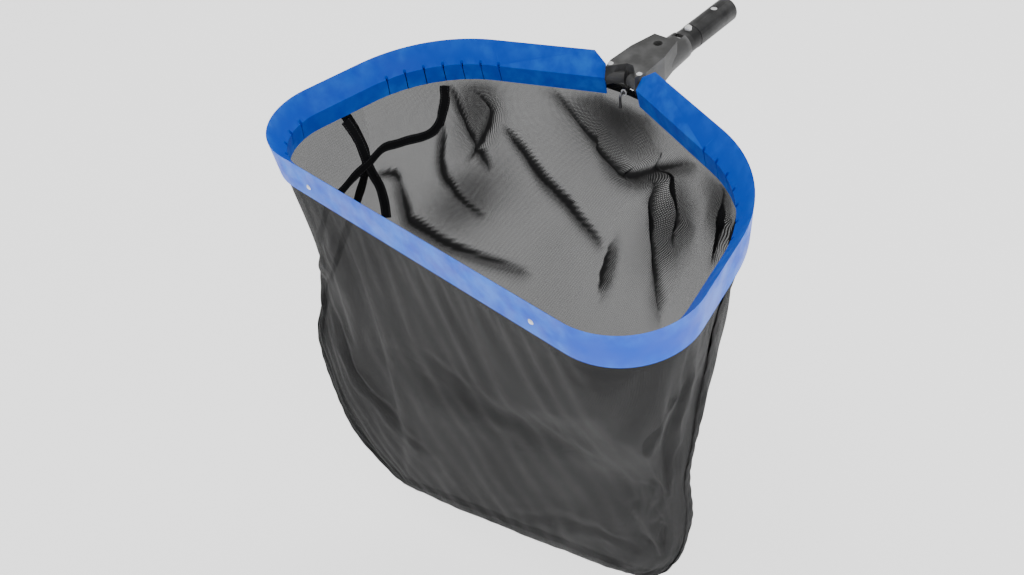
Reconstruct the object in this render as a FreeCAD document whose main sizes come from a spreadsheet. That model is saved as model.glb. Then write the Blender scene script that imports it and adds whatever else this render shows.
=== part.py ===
import FreeCAD, Part
import bisect
import math
import os
import Sketcher
from FreeCAD import Placement, Rotation, Vector

# Leaf skimmer net: a rigid rim with a snap-on edge guard, a deep mesh bag, and a yoke
# whose shank plugs into a pole and is held there by a sprung clip with two lock pins.
# Millimetres. +Z is up, +Y runs from the scoop's front lip to the pole, X runs across.
# The origin is on the shank's axis, under the rivet that holds the clip.

SIZES = {
    # rim outline, measured on the guard's outer face
    "frame_width": 520.0,
    "front_corner_radius": 75.0,
    "side_turn": 100.8,
    "side_length": 68.0,
    "back_corner_radius": 156.0,
    "back_turn": 57.9,
    "handle_gap": 53.0,
    "ridge_rise": 10.0,
    # edge guard section: drops are below the ridge, insets are inward from the outer face
    "guard_wall": 2.2,
    "guard_rise": 23.5,
    "ridge_inset": 15.0,
    "inner_lip_inset": 11.3,
    "inner_lip_drop": 22.0,
    "outer_lip_inset": 1.6,
    "outer_lip_drop": 17.0,
    "guard_end_cut": 14.0,
    "slit_width": 1.1,
    "slit_hole_radius": 1.6,
    "slit_pitch": 21.8,
    "slit_run_in": 118.0,
    "corner_slit_pitch": 19.0,
    # hoop and hem
    "hoop_radius": 3.5,
    "hoop_wall": 1.0,
    "hoop_inset": 7.4,
    "hoop_drop": 1.0,
    "hoop_end_half_gap": 11.0,
    "hem_thickness": 0.6,
    "cloth_gap": 0.05,
    "seat_gap": 0.3,
    # shank and clip
    "shank_radius": 14.25,
    "shank_bore_radius": 10.0,
    "spigot_radius": 12.5,
    "spigot_length": 48.0,
    "rivet_to_shoulder": 64.0,
    "rivet_to_end": 27.0,
    "pin_to_shoulder": 15.0,
    "pin_relief_depth": 0.35,
    "pin_relief_width": 14.0,
    "shank_end_chamfer": 1.5,
    "notch_length": 9.0,
    "notch_width": 12.0,
    "lock_pin_radius": 4.0,
    "lock_pin_throw": 3.0,
    "lock_pin_hole_gap": 0.95,
    "clip_width": 8.0,
    "clip_strip": 1.2,
    "clip_half_height": 7.8,
    "clip_bridge_length": 8.0,
    "clip_pad_height": 2.6,
    "rivet_radius": 2.0,
    "rivet_head_radius": 3.6,
    "rivet_head_height": 1.2,
    "fit_gap": 0.05,
    # yoke
    "yoke_length": 92.0,
    "yoke_radius": 16.0,
    "yoke_flare_radius": 19.0,
    "yoke_barrel_length": 58.0,
    "yoke_web_top": 24.0,
    "yoke_web_base": -7.0,
    "yoke_hip_half_width": 22.0,
    "socket_radius": 7.4,
    "bolt_to_shoulder": 40.0,
    "bolt_radius": 2.5,
    "bolt_head_radius": 4.6,
    "bolt_head_height": 2.6,
    "nut_across_flats": 8.0,
    "nut_height": 4.0,
    "hoop_rivet_radius": 1.6,
    "hoop_rivet_head_radius": 3.2,
    "hoop_rivet_head_height": 1.3,
    "hoop_rivet_half_gap": 19.0,
    # guard rivets
    "guard_rivet_half_span": 150.0,
    "guard_rivet_radius": 1.5,
    "guard_rivet_head_radius": 3.0,
    "guard_rivet_head_height": 0.9,
    # bag
    "bag_depth": 536.0,
    "bag_cloth": 1.0,
    "bag_depth_ahead": 62.0,
    "bag_half_width": 257.0,
    "bag_twist": 16.0,
    "binding_width": 12.0,
    "binding_thickness": 2.0,
    "binding_gap": 0.5,
    "tape_width": 9.0,
    "tape_thickness": 0.9,
    # hem band at the handle
    "band_thickness": 1.4,
    "band_height": 9.0,
    "eyelet_hole_radius": 2.2,
    "eyelet_rim": 1.5,
    "eyelet_flange": 0.6,
    "hook_radius": 1.4,
    "hook_bend_radius": 3.0,
    "hook_reach": 6.0,
    "hook_drop": 13.0,
}

doc = FreeCAD.newDocument("leaf_skimmer_net")
sheet = doc.addObject("Spreadsheet::Sheet", "Sizes")
for row, (alias, number) in enumerate(SIZES.items(), start=1):
    sheet.set(f"A{row}", alias)
    sheet.set(f"B{row}", str(number))
    sheet.setAlias(f"B{row}", alias)
doc.recompute()


class Term:
    """A length or an angle, held both as a number and as the sheet expression that gives it."""

    def __init__(self, text, number):
        self.text = text
        self.number = number

    def __add__(self, other):
        other = term(other)
        return Term(f"({self.text} + {other.text})", self.number + other.number)

    def __sub__(self, other):
        other = term(other)
        return Term(f"({self.text} - {other.text})", self.number - other.number)

    def __mul__(self, other):
        other = term(other)
        return Term(f"{self.text} * {other.text}", self.number * other.number)

    def __truediv__(self, other):
        other = term(other)
        return Term(f"{self.text} / ({other.text})", self.number / other.number)

    def __neg__(self):
        return Term(f"(0 - {self.text})", -self.number)


def term(value):
    if isinstance(value, Term):
        return value
    return Term(f"({value:.9g})", float(value))


def size(alias):
    return Term(f"Sizes.{alias}", float(sheet.get(alias)))


def cos(angle):
    return Term(f"cos({angle.text})", math.cos(math.radians(angle.number)))


def sin(angle):
    return Term(f"sin({angle.text})", math.sin(math.radians(angle.number)))


def bind(thing, name, value):
    thing.setExpression(name, term(value).text)


# ---------------------------------------------------------------- shared places

NODES = []

SHOULDER_Y = -size("rivet_to_shoulder")
SHANK_END_Y = size("rivet_to_end")
LOCK_PIN_Y = SHOULDER_Y + size("pin_to_shoulder")
BOLT_Y = SHOULDER_Y - size("bolt_to_shoulder")
SLEEVE_END_Y = SHOULDER_Y - size("yoke_length")
RIDGE_Z = size("ridge_rise")
HOOP_Z = RIDGE_Z - size("hoop_drop")
SIDE_HEADING = size("side_turn")
BACK_HEADING = size("side_turn") + size("back_turn")
FRONT_HALF = size("frame_width") / 2 - size("front_corner_radius")
HEM_RADIUS = size("hoop_radius") + size("cloth_gap") + size("hem_thickness")


def outline(inset, end_x, front_y):
    """Points and centres of half the rim, from the middle of the front to the handle, at an inset."""
    inset = term(inset)
    front = size("front_corner_radius")
    back = size("back_corner_radius")
    side = size("side_length")
    centre_1 = (FRONT_HALF, front_y + front)
    centre_2 = (
        centre_1[0] + sin(SIDE_HEADING) * (front - back) + cos(SIDE_HEADING) * side,
        centre_1[1] - cos(SIDE_HEADING) * (front - back) + sin(SIDE_HEADING) * side,
    )
    radius_1 = front - inset
    radius_2 = back - inset
    start = (term(0), front_y + inset)
    corner = (FRONT_HALF, front_y + inset)
    side_start = (
        centre_1[0] + sin(SIDE_HEADING) * radius_1,
        centre_1[1] - cos(SIDE_HEADING) * radius_1,
    )
    side_end = (
        side_start[0] + cos(SIDE_HEADING) * side,
        side_start[1] + sin(SIDE_HEADING) * side,
    )
    back_start = (
        centre_2[0] + sin(BACK_HEADING) * radius_2,
        centre_2[1] - cos(BACK_HEADING) * radius_2,
    )
    run = (term(end_x) - back_start[0]) / cos(BACK_HEADING)
    end = (term(end_x), back_start[1] + sin(BACK_HEADING) * run)
    return {
        "points": [start, corner, side_start, side_end, back_start, end],
        "centres": [centre_1, centre_2],
        "radii": [radius_1, radius_2],
    }


GUARD_END_X = size("handle_gap") / 2
FRONT_Y = SLEEVE_END_Y - outline(0, GUARD_END_X, term(0))["points"][-1][1]


def numbers(point):
    return [value.number for value in point]


def rim_point(inset, distance):
    """Point on the inset rim, and the heading there, at a distance from the guard's end."""
    half = outline(inset, GUARD_END_X, FRONT_Y)
    points = [Vector(*numbers(point), 0) for point in half["points"]]
    centres = [Vector(*numbers(point), 0) for point in half["centres"]]
    radii = [radius.number for radius in half["radii"]]
    headings = [0.0, math.radians(SIDE_HEADING.number), math.radians(BACK_HEADING.number)]
    left = distance
    for stage in (2, 1, 0):
        start = points[2 * stage]
        end = points[2 * stage + 1]
        straight = (end - start).Length
        if left <= straight:
            return end - (end - start) * (left / straight), headings[stage]
        left -= straight
        if stage == 0:
            return start, 0.0
        radius = radii[stage - 1]
        bend = radius * (headings[stage] - headings[stage - 1])
        if left <= bend:
            heading = headings[stage] - left / radius
            out = Vector(math.sin(heading), -math.cos(heading), 0)
            return centres[stage - 1] + out * radius, heading
        left -= bend
    return points[0], 0.0


# ---------------------------------------------------------------- building blocks


def keep(thing, label):
    thing.Label = label
    NODES.append(thing)
    return thing


def new_body(name, base=(0, 0, 0)):
    body = doc.addObject("PartDesign::Body", name)
    body.Placement = Placement(Vector(*[term(value).number for value in base]), Rotation())
    for axis, value in zip("xyz", base):
        bind(body, f"Placement.Base.{axis}", value)
    return body


def plane(body, role):
    return next(item for item in body.Origin.OriginFeatures if item.Role == role)


def new_sketch(body, name, role):
    sketch = body.newObject("Sketcher::SketchObject", name)
    sketch.AttachmentSupport = [(plane(body, role), "")]
    sketch.MapMode = "FlatFace"
    return sketch


def constrain(sketch, value, *constraint):
    index = sketch.addConstraint(Sketcher.Constraint(*constraint, value.number))
    bind(sketch, f"Constraints[{index}]", value)
    return index


def pin_point(sketch, geometry, position, point):
    constrain(sketch, term(point[0]), "DistanceX", -1, 1, geometry, position)
    constrain(sketch, term(point[1]), "DistanceY", -1, 1, geometry, position)


def draw_polygon(sketch, points):
    spots = [Vector(*[term(value).number for value in point], 0) for point in points]
    count = len(spots)
    first = sketch.GeometryCount
    for index in range(count):
        sketch.addGeometry(Part.LineSegment(spots[index], spots[(index + 1) % count]), False)
    for index in range(count):
        after = first + (index + 1) % count
        sketch.addConstraint(Sketcher.Constraint("Coincident", first + index, 2, after, 1))
    for index, point in enumerate(points):
        pin_point(sketch, first + index, 1, point)


def draw_circle(sketch, point, radius):
    centre = Vector(*[term(value).number for value in point], 0)
    index = sketch.addGeometry(Part.Circle(centre, Vector(0, 0, 1), term(radius).number), False)
    pin_point(sketch, index, 3, point)
    constrain(sketch, term(radius), "Radius", index)


def draw_rim_path(sketch, inset, end_x):
    """Half the rim as line, arc, line, arc, line, tangent all the way."""
    half = outline(inset, end_x, FRONT_Y)
    spots = [Vector(*numbers(point), 0) for point in half["points"]]
    headings = [0.0, math.radians(SIDE_HEADING.number), math.radians(BACK_HEADING.number)]
    quarter = math.pi / 2
    for stage in range(3):
        sketch.addGeometry(Part.LineSegment(spots[2 * stage], spots[2 * stage + 1]), False)
        if stage < 2:
            centre = Vector(*numbers(half["centres"][stage]), 0)
            circle = Part.Circle(centre, Vector(0, 0, 1), half["radii"][stage].number)
            start = headings[stage] - quarter
            end = headings[stage + 1] - quarter
            sketch.addGeometry(Part.ArcOfCircle(circle, start, end), False)
    for index in range(4):
        sketch.addConstraint(Sketcher.Constraint("Tangent", index, 2, index + 1, 1))
    sketch.addConstraint(Sketcher.Constraint("Horizontal", 0))
    pin_point(sketch, 0, 1, half["points"][0])
    constrain(sketch, FRONT_HALF, "DistanceX", 0, 1, 0, 2)
    constrain(sketch, half["radii"][0], "Radius", 1)
    constrain(sketch, size("side_length"), "Distance", 2)
    constrain(sketch, half["radii"][1], "Radius", 3)
    for line, heading in ((2, SIDE_HEADING), (4, BACK_HEADING)):
        turn = Term(f"{heading.text} * 1 deg", math.radians(heading.number))
        constrain(sketch, turn, "Angle", line)
    constrain(sketch, term(end_x), "DistanceX", -1, 1, 4, 2)


def sweep_rim(body, draw_profile, inset, end_x):
    """Sweep a profile, drawn in the YZ plane, round half the rim, and mirror it."""
    path = new_sketch(body, f"{body.Name}_path", "XY_Plane")
    draw_rim_path(path, inset, end_x)
    profile = new_sketch(body, f"{body.Name}_profile", "YZ_Plane")
    draw_profile(profile)
    doc.recompute()
    pipe = body.newObject("PartDesign::AdditivePipe", f"{body.Name}_pipe")
    pipe.Profile = profile
    pipe.Spine = (path, [f"Edge{index}" for index in range(1, 6)])
    doc.recompute()
    both = body.newObject("PartDesign::Mirrored", f"{body.Name}_both_sides")
    both.Originals = [pipe]
    both.MirrorPlane = (plane(body, "YZ_Plane"), [""])
    body.Tip = both
    doc.recompute()
    return both


def cylinder(name, radius, height, base, axis=(0, 0, 1)):
    """A cylinder whose own axis points along the given direction."""
    thing = doc.addObject("Part::Cylinder", name)
    bind(thing, "Radius", radius)
    bind(thing, "Height", height)
    spot = Vector(*[term(value).number for value in base])
    thing.Placement = Placement(spot, Rotation(Vector(0, 0, 1), Vector(*axis)))
    for letter, value in zip("xyz", base):
        if isinstance(value, Term):
            bind(thing, f"Placement.Base.{letter}", value)
    return thing


def cone(name, radius_1, radius_2, height, base, axis=(0, 0, 1)):
    thing = doc.addObject("Part::Cone", name)
    bind(thing, "Radius1", radius_1)
    bind(thing, "Radius2", radius_2)
    bind(thing, "Height", height)
    spot = Vector(*[term(value).number for value in base])
    thing.Placement = Placement(spot, Rotation(Vector(0, 0, 1), Vector(*axis)))
    for letter, value in zip("xyz", base):
        if isinstance(value, Term):
            bind(thing, f"Placement.Base.{letter}", value)
    return thing


def box(name, low, high):
    """A block between two corners, given as terms or numbers."""
    thing = doc.addObject("Part::Box", name)
    low = [term(value) for value in low]
    high = [term(value) for value in high]
    thing.Placement = Placement(Vector(*[value.number for value in low]), Rotation())
    for letter, side, bottom, top in zip("xyz", ("Length", "Width", "Height"), low, high):
        bind(thing, side, top - bottom)
        bind(thing, f"Placement.Base.{letter}", bottom)
    return thing


def fuse(name, shapes):
    thing = doc.addObject("Part::MultiFuse", name)
    thing.Shapes = shapes
    return thing


def group(name, shapes):
    thing = doc.addObject("Part::Compound", name)
    thing.Links = shapes
    return thing


def cut(name, base, tools):
    thing = doc.addObject("Part::Cut", name)
    thing.Base = base
    thing.Tool = fuse(f"{name}_tools", tools) if len(tools) > 1 else tools[0]
    return thing


# ---------------------------------------------------------------- hoop, hem sleeve and guard


def hoop_centre():
    return (FRONT_Y + size("hoop_inset"), term(0))


def draw_ring(sketch, outer, inner):
    draw_circle(sketch, hoop_centre(), outer)
    draw_circle(sketch, hoop_centre(), inner)


def guard_profile(sketch):
    wall = size("guard_wall")
    rise = size("guard_rise")
    ridge = size("ridge_inset")
    lip = size("inner_lip_inset")
    lip_drop = size("inner_lip_drop")
    outer_lip = size("outer_lip_inset")
    outer_drop = size("outer_lip_drop")
    slope_wall = wall * 1.19
    hollow_top = rise * (term(1) - (wall + slope_wall) / ridge)
    points = [
        (term(0), rise),
        (ridge, term(0)),
        (lip, -lip_drop),
        (lip - wall, -lip_drop),
        (ridge - slope_wall, -wall * 0.2),
        (wall, hollow_top),
        (outer_lip + wall, -outer_drop),
        (outer_lip, -outer_drop),
    ]
    draw_polygon(sketch, [(FRONT_Y + point[0], point[1]) for point in points])


def side_points(inset, distances):
    """Mirrored pairs of places on the rim, each with its inward direction."""
    places = []
    for distance in distances:
        spot, heading = rim_point(inset, distance)
        across = Vector(-math.sin(heading), math.cos(heading), 0)
        places.append((spot, across))
        places.append((Vector(-spot.x, spot.y, 0), Vector(-across.x, across.y, 0)))
    return places


def guard_rivet_places():
    """Where the guard's rivets sit on its outer face, and the way in: two in front, one near each end."""
    spots = []
    for sign in (-1, 1):
        front = Vector(sign * size("guard_rivet_half_span").number, FRONT_Y.number, 0)
        spots.append((front, Vector(0, 1, 0)))
    return spots + side_points(0, [size("slit_run_in").number * 0.3])


def slit_distances():
    """Distances from the guard's end to each slit: a row round the back bend, another round the front."""
    pitch = size("slit_pitch").number
    start = size("slit_run_in").number
    back_row = [start + pitch * index for index in range(7)]
    half = outline(size("ridge_inset"), GUARD_END_X, FRONT_Y)
    points = [Vector(*numbers(point), 0) for point in half["points"]]
    bend_2 = half["radii"][1].number * math.radians(size("back_turn").number)
    bend_1 = half["radii"][0].number * math.radians(size("side_turn").number)
    to_front_bend = (points[5] - points[4]).Length + bend_2 + (points[3] - points[2]).Length
    front_pitch = size("corner_slit_pitch").number
    first = to_front_bend + bend_1 / 2 - front_pitch * 1.5
    front_row = [first + front_pitch * index for index in range(4)]
    return back_row + front_row


def slit_tools():
    """Thin blades that cut the inner flange below the ridge, each ending in a round relief hole."""
    tools = []
    depth = size("ridge_inset") - size("inner_lip_inset") + size("guard_wall") * 2
    drop = size("inner_lip_drop") + 1
    hole_inset = size("ridge_inset") - size("slit_hole_radius") * 0.6
    for index, (spot, across) in enumerate(side_points(hole_inset, slit_distances())):
        blade = doc.addObject("Part::Box", f"slit_blade_{index}")
        bind(blade, "Length", depth)
        bind(blade, "Width", size("slit_width"))
        bind(blade, "Height", drop)
        along = Vector(-across.y, across.x, 0)
        corner = spot - across * (depth.number - size("slit_hole_radius").number - 1)
        corner = corner - along * (size("slit_width").number / 2)
        corner.z = RIDGE_Z.number - drop.number
        blade.Placement = Placement(corner, Rotation(Vector(1, 0, 0), across))
        tools.append(blade)
        base = (spot.x, spot.y, RIDGE_Z - size("guard_wall") - 1)
        hole = cylinder(f"slit_hole_{index}", size("slit_hole_radius"), size("guard_wall") * 3 + 2, base)
        tools.append(hole)
    return tools


def rivet_shank_tools(name, radius):
    """Short cylinders on the guard rivets' axes, from outside the guard to the hoop's middle."""
    tools = []
    for index, (spot, across) in enumerate(guard_rivet_places()):
        start = spot - across * 2
        base = (start.x, start.y, HOOP_Z)
        reach = size("hoop_inset") + 2
        tools.append(cylinder(f"{name}_{index}", radius, reach, base, (across.x, across.y, 0)))
    return tools


def end_cut_tools():
    """Blocks that bevel the outer corner of each end of the guard."""
    tools = []
    reach = size("guard_end_cut").number
    end = outline(0, GUARD_END_X, FRONT_Y)["points"][-1]
    for side, sign in (("left", -1), ("right", 1)):
        heading = math.radians(BACK_HEADING.number)
        along = Vector(sign * math.cos(heading), math.sin(heading), 0)
        across = Vector(-sign * math.sin(heading), math.cos(heading), 0)
        tip = Vector(sign * end[0].number, end[1].number, 0)
        bevel = along * reach + across * (reach * 0.5)
        turn = math.degrees(math.atan2(bevel.y, bevel.x))
        block = doc.addObject("Part::Box", f"guard_end_block_{side}")
        bind(block, "Length", size("guard_end_cut") * 2)
        bind(block, "Width", size("guard_end_cut"))
        bind(block, "Height", size("guard_rise") * 3)
        rotation = Rotation(Vector(0, 0, 1), turn)
        base = tip - along * reach - bevel * 0.3
        if sign > 0:
            base = base - rotation.multVec(Vector(0, 1, 0)) * reach
        base.z = RIDGE_Z.number - size("guard_rise").number * 1.5
        block.Placement = Placement(base, rotation)
        tools.append(block)
    return tools


hoop_body = new_body("hoop_blank", (0, 0, HOOP_Z))
sweep_rim(
    hoop_body,
    lambda sketch: draw_ring(sketch, size("hoop_radius"), size("hoop_radius") - size("hoop_wall")),
    size("hoop_inset"),
    size("hoop_end_half_gap"),
)

hem_body = new_body("hem_blank", (0, 0, HOOP_Z))
sweep_rim(
    hem_body,
    lambda sketch: draw_ring(sketch, HEM_RADIUS, size("hoop_radius") + size("cloth_gap")),
    size("hoop_inset"),
    GUARD_END_X,
)

guard_body = new_body("guard_blank", (0, 0, RIDGE_Z))
sweep_rim(guard_body, guard_profile, term(0), GUARD_END_X)

hoop_end_half = outline(size("hoop_inset"), size("hoop_rivet_half_gap"), FRONT_Y)["points"][-1]


def hoop_rivet_tools(name, radius):
    base_z = size("yoke_web_base") - 2
    height = size("yoke_web_top") - size("yoke_web_base") + 4
    return [
        cylinder(f"{name}_{side}", radius, height, (hoop_end_half[0] * sign, hoop_end_half[1], base_z))
        for side, sign in (("left", -1), ("right", 1))
    ]


hole_gap = size("fit_gap")
hoop_holes = rivet_shank_tools("hoop_guard_rivet_hole", size("guard_rivet_radius") + hole_gap)
hoop_holes += hoop_rivet_tools("hoop_end_rivet_hole", size("hoop_rivet_radius") + hole_gap)
keep(cut("hoop_cut", hoop_body, hoop_holes), "frame_hoop")
hem_holes = rivet_shank_tools("hem_rivet_hole", size("guard_rivet_radius") + hole_gap)
keep(cut("hem_cut", hem_body, hem_holes), "hem_sleeve")
guard_holes = rivet_shank_tools("guard_rivet_hole", size("guard_rivet_radius") + hole_gap)
keep(cut("guard_cut", guard_body, slit_tools() + guard_holes + end_cut_tools()), "edge_guard")


def guard_rivets():
    """Blind rivets: a shank into the hoop's wall and a low head on the guard's outer face."""
    rivets = []
    slope = size("outer_lip_inset") / (size("guard_rise") + size("outer_lip_drop"))
    face = slope * (size("guard_rise") + size("hoop_drop"))
    depth = size("hoop_inset") - size("hoop_radius") + size("hoop_wall")
    clear = term(0.2)
    for index, (spot, across) in enumerate(guard_rivet_places()):
        start = spot + across * (face.number - clear.number - size("guard_rivet_head_height").number)
        axis = (across.x, across.y, 0)
        base = (start.x, start.y, HOOP_Z)
        reach = depth - face + clear + size("guard_rivet_head_height")
        shank = cylinder(f"guard_rivet_shank_{index}", size("guard_rivet_radius"), reach, base, axis)
        head_height = size("guard_rivet_head_height")
        head = cone(
            f"guard_rivet_head_{index}",
            size("guard_rivet_head_radius") * 0.6,
            size("guard_rivet_head_radius"),
            head_height,
            base,
            axis,
        )
        rivets.append(fuse(f"guard_rivet_{index}", [shank, head]))
    return rivets


keep(group("guard_rivet_set", guard_rivets()), "guard_rivets")

# ---------------------------------------------------------------- shank


def shank_profile(sketch):
    """Half section of the shank, to be turned about the Y axis."""
    radius = size("shank_radius")
    relief = radius - size("pin_relief_depth")
    bore = size("shank_bore_radius")
    low = LOCK_PIN_Y - size("pin_relief_width") / 2
    high = LOCK_PIN_Y + size("pin_relief_width") / 2
    points = [
        (bore, SHOULDER_Y - size("spigot_length")),
        (size("spigot_radius"), SHOULDER_Y - size("spigot_length")),
        (size("spigot_radius"), SHOULDER_Y),
        (radius, SHOULDER_Y),
        (radius, low),
        (relief, low),
        (relief, high),
        (radius, high),
        (radius, SHANK_END_Y - size("shank_end_chamfer")),
        (radius - size("shank_end_chamfer"), SHANK_END_Y),
        (bore, SHANK_END_Y),
    ]
    draw_polygon(sketch, points)


def turn_body(body, draw_profile):
    """Revolve a half section about the body's Y axis."""
    profile = new_sketch(body, f"{body.Name}_profile", "XY_Plane")
    draw_profile(profile)
    doc.recompute()
    turned = body.newObject("PartDesign::Revolution", f"{body.Name}_turned")
    turned.Profile = profile
    turned.ReferenceAxis = (profile, ["V_Axis"])
    turned.Angle = 360.0
    body.Tip = turned
    doc.recompute()
    return turned


def notch_tools(name, gap):
    """Finger windows, above and below, where the yoke meets the shank."""
    half = size("notch_width") / 2
    low = SHOULDER_Y - size("notch_length")
    reach = size("yoke_flare_radius") + 4
    start = term(3)
    upper = box(f"{name}_upper", (-half, low, start), (half, SHOULDER_Y - gap, reach))
    lower = box(f"{name}_lower", (-half, low, -reach), (half, SHOULDER_Y - gap, -start))
    return [upper, lower]


def cross_hole(name, radius, y):
    reach = size("yoke_flare_radius") + 12
    return cylinder(name, radius, reach * 2, (0, y, -reach))


shank_body = new_body("shank_blank")
turn_body(shank_body, shank_profile)
pin_hole_radius = size("lock_pin_radius") + size("lock_pin_hole_gap")
shank_tools = notch_tools("shank_notch", term(0))
shank_tools.append(cross_hole("shank_pin_hole", pin_hole_radius, LOCK_PIN_Y))
shank_tools.append(cross_hole("shank_rivet_hole", size("rivet_radius") + hole_gap, term(0)))
shank_tools.append(cross_hole("shank_bolt_hole", size("bolt_radius") + hole_gap, BOLT_Y))
HEAD_TOP = size("shank_radius") - 0.55
for side, sign in (("upper", 1), ("lower", -1)):
    head_base = HEAD_TOP - size("rivet_head_height") - hole_gap
    sink_radius = size("rivet_head_radius") + hole_gap
    shank_tools.append(
        cylinder(f"shank_rivet_sink_{side}", sink_radius, term(6), (0, 0, head_base * sign), (0, 0, sign))
    )
keep(cut("shank_cut", shank_body, shank_tools), "pole_shank")

# ---------------------------------------------------------------- yoke

spigot_bore = size("spigot_radius") + size("fit_gap")
barrel_end = SHOULDER_Y - size("yoke_barrel_length")
barrel = cone(
    "yoke_barrel",
    size("yoke_radius"),
    size("yoke_flare_radius"),
    size("yoke_barrel_length"),
    (0, SHOULDER_Y, 0),
    (0, -1, 0),
)

web_body = new_body("yoke_web", (0, 0, size("yoke_web_base")))
web_sketch = new_sketch(web_body, "yoke_web_plan", "XY_Plane")
socket_end_x = GUARD_END_X - size("hoop_inset") * sin(BACK_HEADING) - size("seat_gap")
socket_end = outline(size("hoop_inset"), socket_end_x, FRONT_Y)["points"][-1]
hip = size("yoke_hip_half_width")
web_points = [
    (size("yoke_radius") - 1, SHOULDER_Y - 26),
    (hip, barrel_end),
    (socket_end[0], socket_end[1] + size("socket_radius")),
    (socket_end[0] - 4, socket_end[1] - size("socket_radius") + 1),
    (term(11), socket_end[1] + 4),
    (term(4), socket_end[1] + 11),
]
web_outline = web_points + [(-point[0], point[1]) for point in reversed(web_points)]
draw_polygon(web_sketch, web_outline)
doc.recompute()
web_pad = web_body.newObject("PartDesign::Pad", "yoke_web_pad")
web_pad.Profile = web_sketch
bind(web_pad, "Length", size("yoke_web_top") - size("yoke_web_base"))
web_body.Tip = web_pad
doc.recompute()


def hoop_end_axis(sign):
    heading = math.radians(BACK_HEADING.number)
    return Vector(-sign * math.cos(heading), -math.sin(heading), 0)


def socket(side, sign, radius, inner_x, outer_x, name):
    """A cylinder along one end of the hoop, between two distances from the middle."""
    inner = outline(size("hoop_inset"), inner_x, FRONT_Y)["points"][-1]
    length = (term(outer_x) - term(inner_x)) / -cos(BACK_HEADING)
    base = (inner[0] * sign, inner[1], HOOP_Z)
    return cylinder(f"{name}_{side}", radius, length, base, tuple(hoop_end_axis(sign)))


sides = (("left", -1), ("right", 1))
socket_start_x = 4
sockets = [
    socket(side, sign, size("socket_radius"), socket_start_x, socket_end[0], "yoke_socket")
    for side, sign in sides
]
yoke_solid = fuse("yoke_solid", [barrel, web_body] + sockets)
yoke_tools = notch_tools("yoke_notch", -term(1))
yoke_tools.append(
    cylinder(
        "yoke_bore",
        spigot_bore,
        size("spigot_length") + 1,
        (0, SHOULDER_Y - size("spigot_length") - 0.5, 0),
        (0, 1, 0),
    )
)
yoke_tools.append(cross_hole("yoke_bolt_hole", size("bolt_radius") + hole_gap, BOLT_Y))
yoke_tools += hoop_rivet_tools("yoke_rivet_hole", size("hoop_rivet_radius") + hole_gap)
hoop_seat = size("hoop_radius") + size("fit_gap")
tube_gap = size("hoop_end_half_gap") - 0.5
yoke_tools += [
    socket(side, sign, hoop_seat, tube_gap, GUARD_END_X + 6, "yoke_hoop_hole")
    for side, sign in sides
]
nut_base = -(size("yoke_radius") + 1.2)
nut_room = size("nut_across_flats") * 0.5 / cos(term(30)) + 0.1
yoke_tools.append(
    cylinder("yoke_nut_recess", nut_room, term(12), (0, BOLT_Y, nut_base), (0, 0, -1))
)
yoke_tools.append(
    cylinder(
        "yoke_head_seat",
        size("bolt_head_radius") + 0.4,
        term(12),
        (0, BOLT_Y, size("yoke_radius") + 0.6),
    )
)
crotch_y = socket_end[1] + 11
BAG_INSET = size("hoop_inset") - 1
BAG_TOP = HOOP_Z - HEM_RADIUS - size("seat_gap")
BAG_BACK_Y = outline(BAG_INSET, GUARD_END_X, FRONT_Y)["points"][-1][1]
SOCKET_FLAT = HOOP_Z - size("socket_radius") + 0.3
RIVET_FOOT = size("hoop_rivet_head_height") * 0.5
DIP_TOP = SOCKET_FLAT - 0.06 - RIVET_FOOT - size("seat_gap")
BAND_Y = BAG_BACK_Y + size("seat_gap") + size("band_thickness") / 2
EYELET_Z = DIP_TOP - size("band_height") / 2
hem_room = size("seat_gap") + size("band_thickness") + 3.5
yoke_tools.append(
    box(
        "yoke_hem_room",
        (-GUARD_END_X - 8, BAG_BACK_Y - 24, size("yoke_web_base") - 1),
        (GUARD_END_X + 8, BAG_BACK_Y + hem_room, SOCKET_FLAT),
    )
)
yoke_tools.append(
    cylinder(
        "yoke_hook_hole",
        size("hook_radius") + hole_gap,
        term(16),
        (0, crotch_y - 8, EYELET_Z),
        (0, 1, 0),
    )
)
keep(cut("yoke_cut", yoke_solid, yoke_tools), "yoke_body")


def bolt():
    top = size("yoke_radius") + 0.65
    bottom = -(size("yoke_radius") + 1.25 + size("nut_height"))
    shank = cylinder("bolt_shank", size("bolt_radius"), top - bottom, (0, BOLT_Y, bottom))
    rim_height = size("bolt_head_height") * 0.55
    head = cylinder("bolt_head", size("bolt_head_radius"), rim_height, (0, BOLT_Y, top))
    dome_base = top + rim_height
    dome = cone(
        "bolt_dome",
        size("bolt_head_radius"),
        size("bolt_head_radius") * 0.55,
        size("bolt_head_height") * 0.45,
        (0, BOLT_Y, dome_base),
    )
    return fuse("bolt_solid", [shank, head, dome])


keep(bolt(), "yoke_bolt")

nut_prism = doc.addObject("Part::Prism", "nut_prism")
nut_prism.Polygon = 6
bind(nut_prism, "Circumradius", size("nut_across_flats") * 0.5 / cos(term(30)))
bind(nut_prism, "Height", size("nut_height"))
nut_bottom = nut_base - 0.05 - size("nut_height")
nut_prism.Placement = Placement(Vector(0, BOLT_Y.number, nut_bottom.number), Rotation())
bind(nut_prism, "Placement.Base.y", BOLT_Y)
bind(nut_prism, "Placement.Base.z", nut_bottom)
nut_hole = cylinder("nut_hole", size("bolt_radius") + hole_gap, term(12), (0, BOLT_Y, nut_bottom - 1))
keep(cut("nut_cut", nut_prism, [nut_hole]), "yoke_nut")


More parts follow.
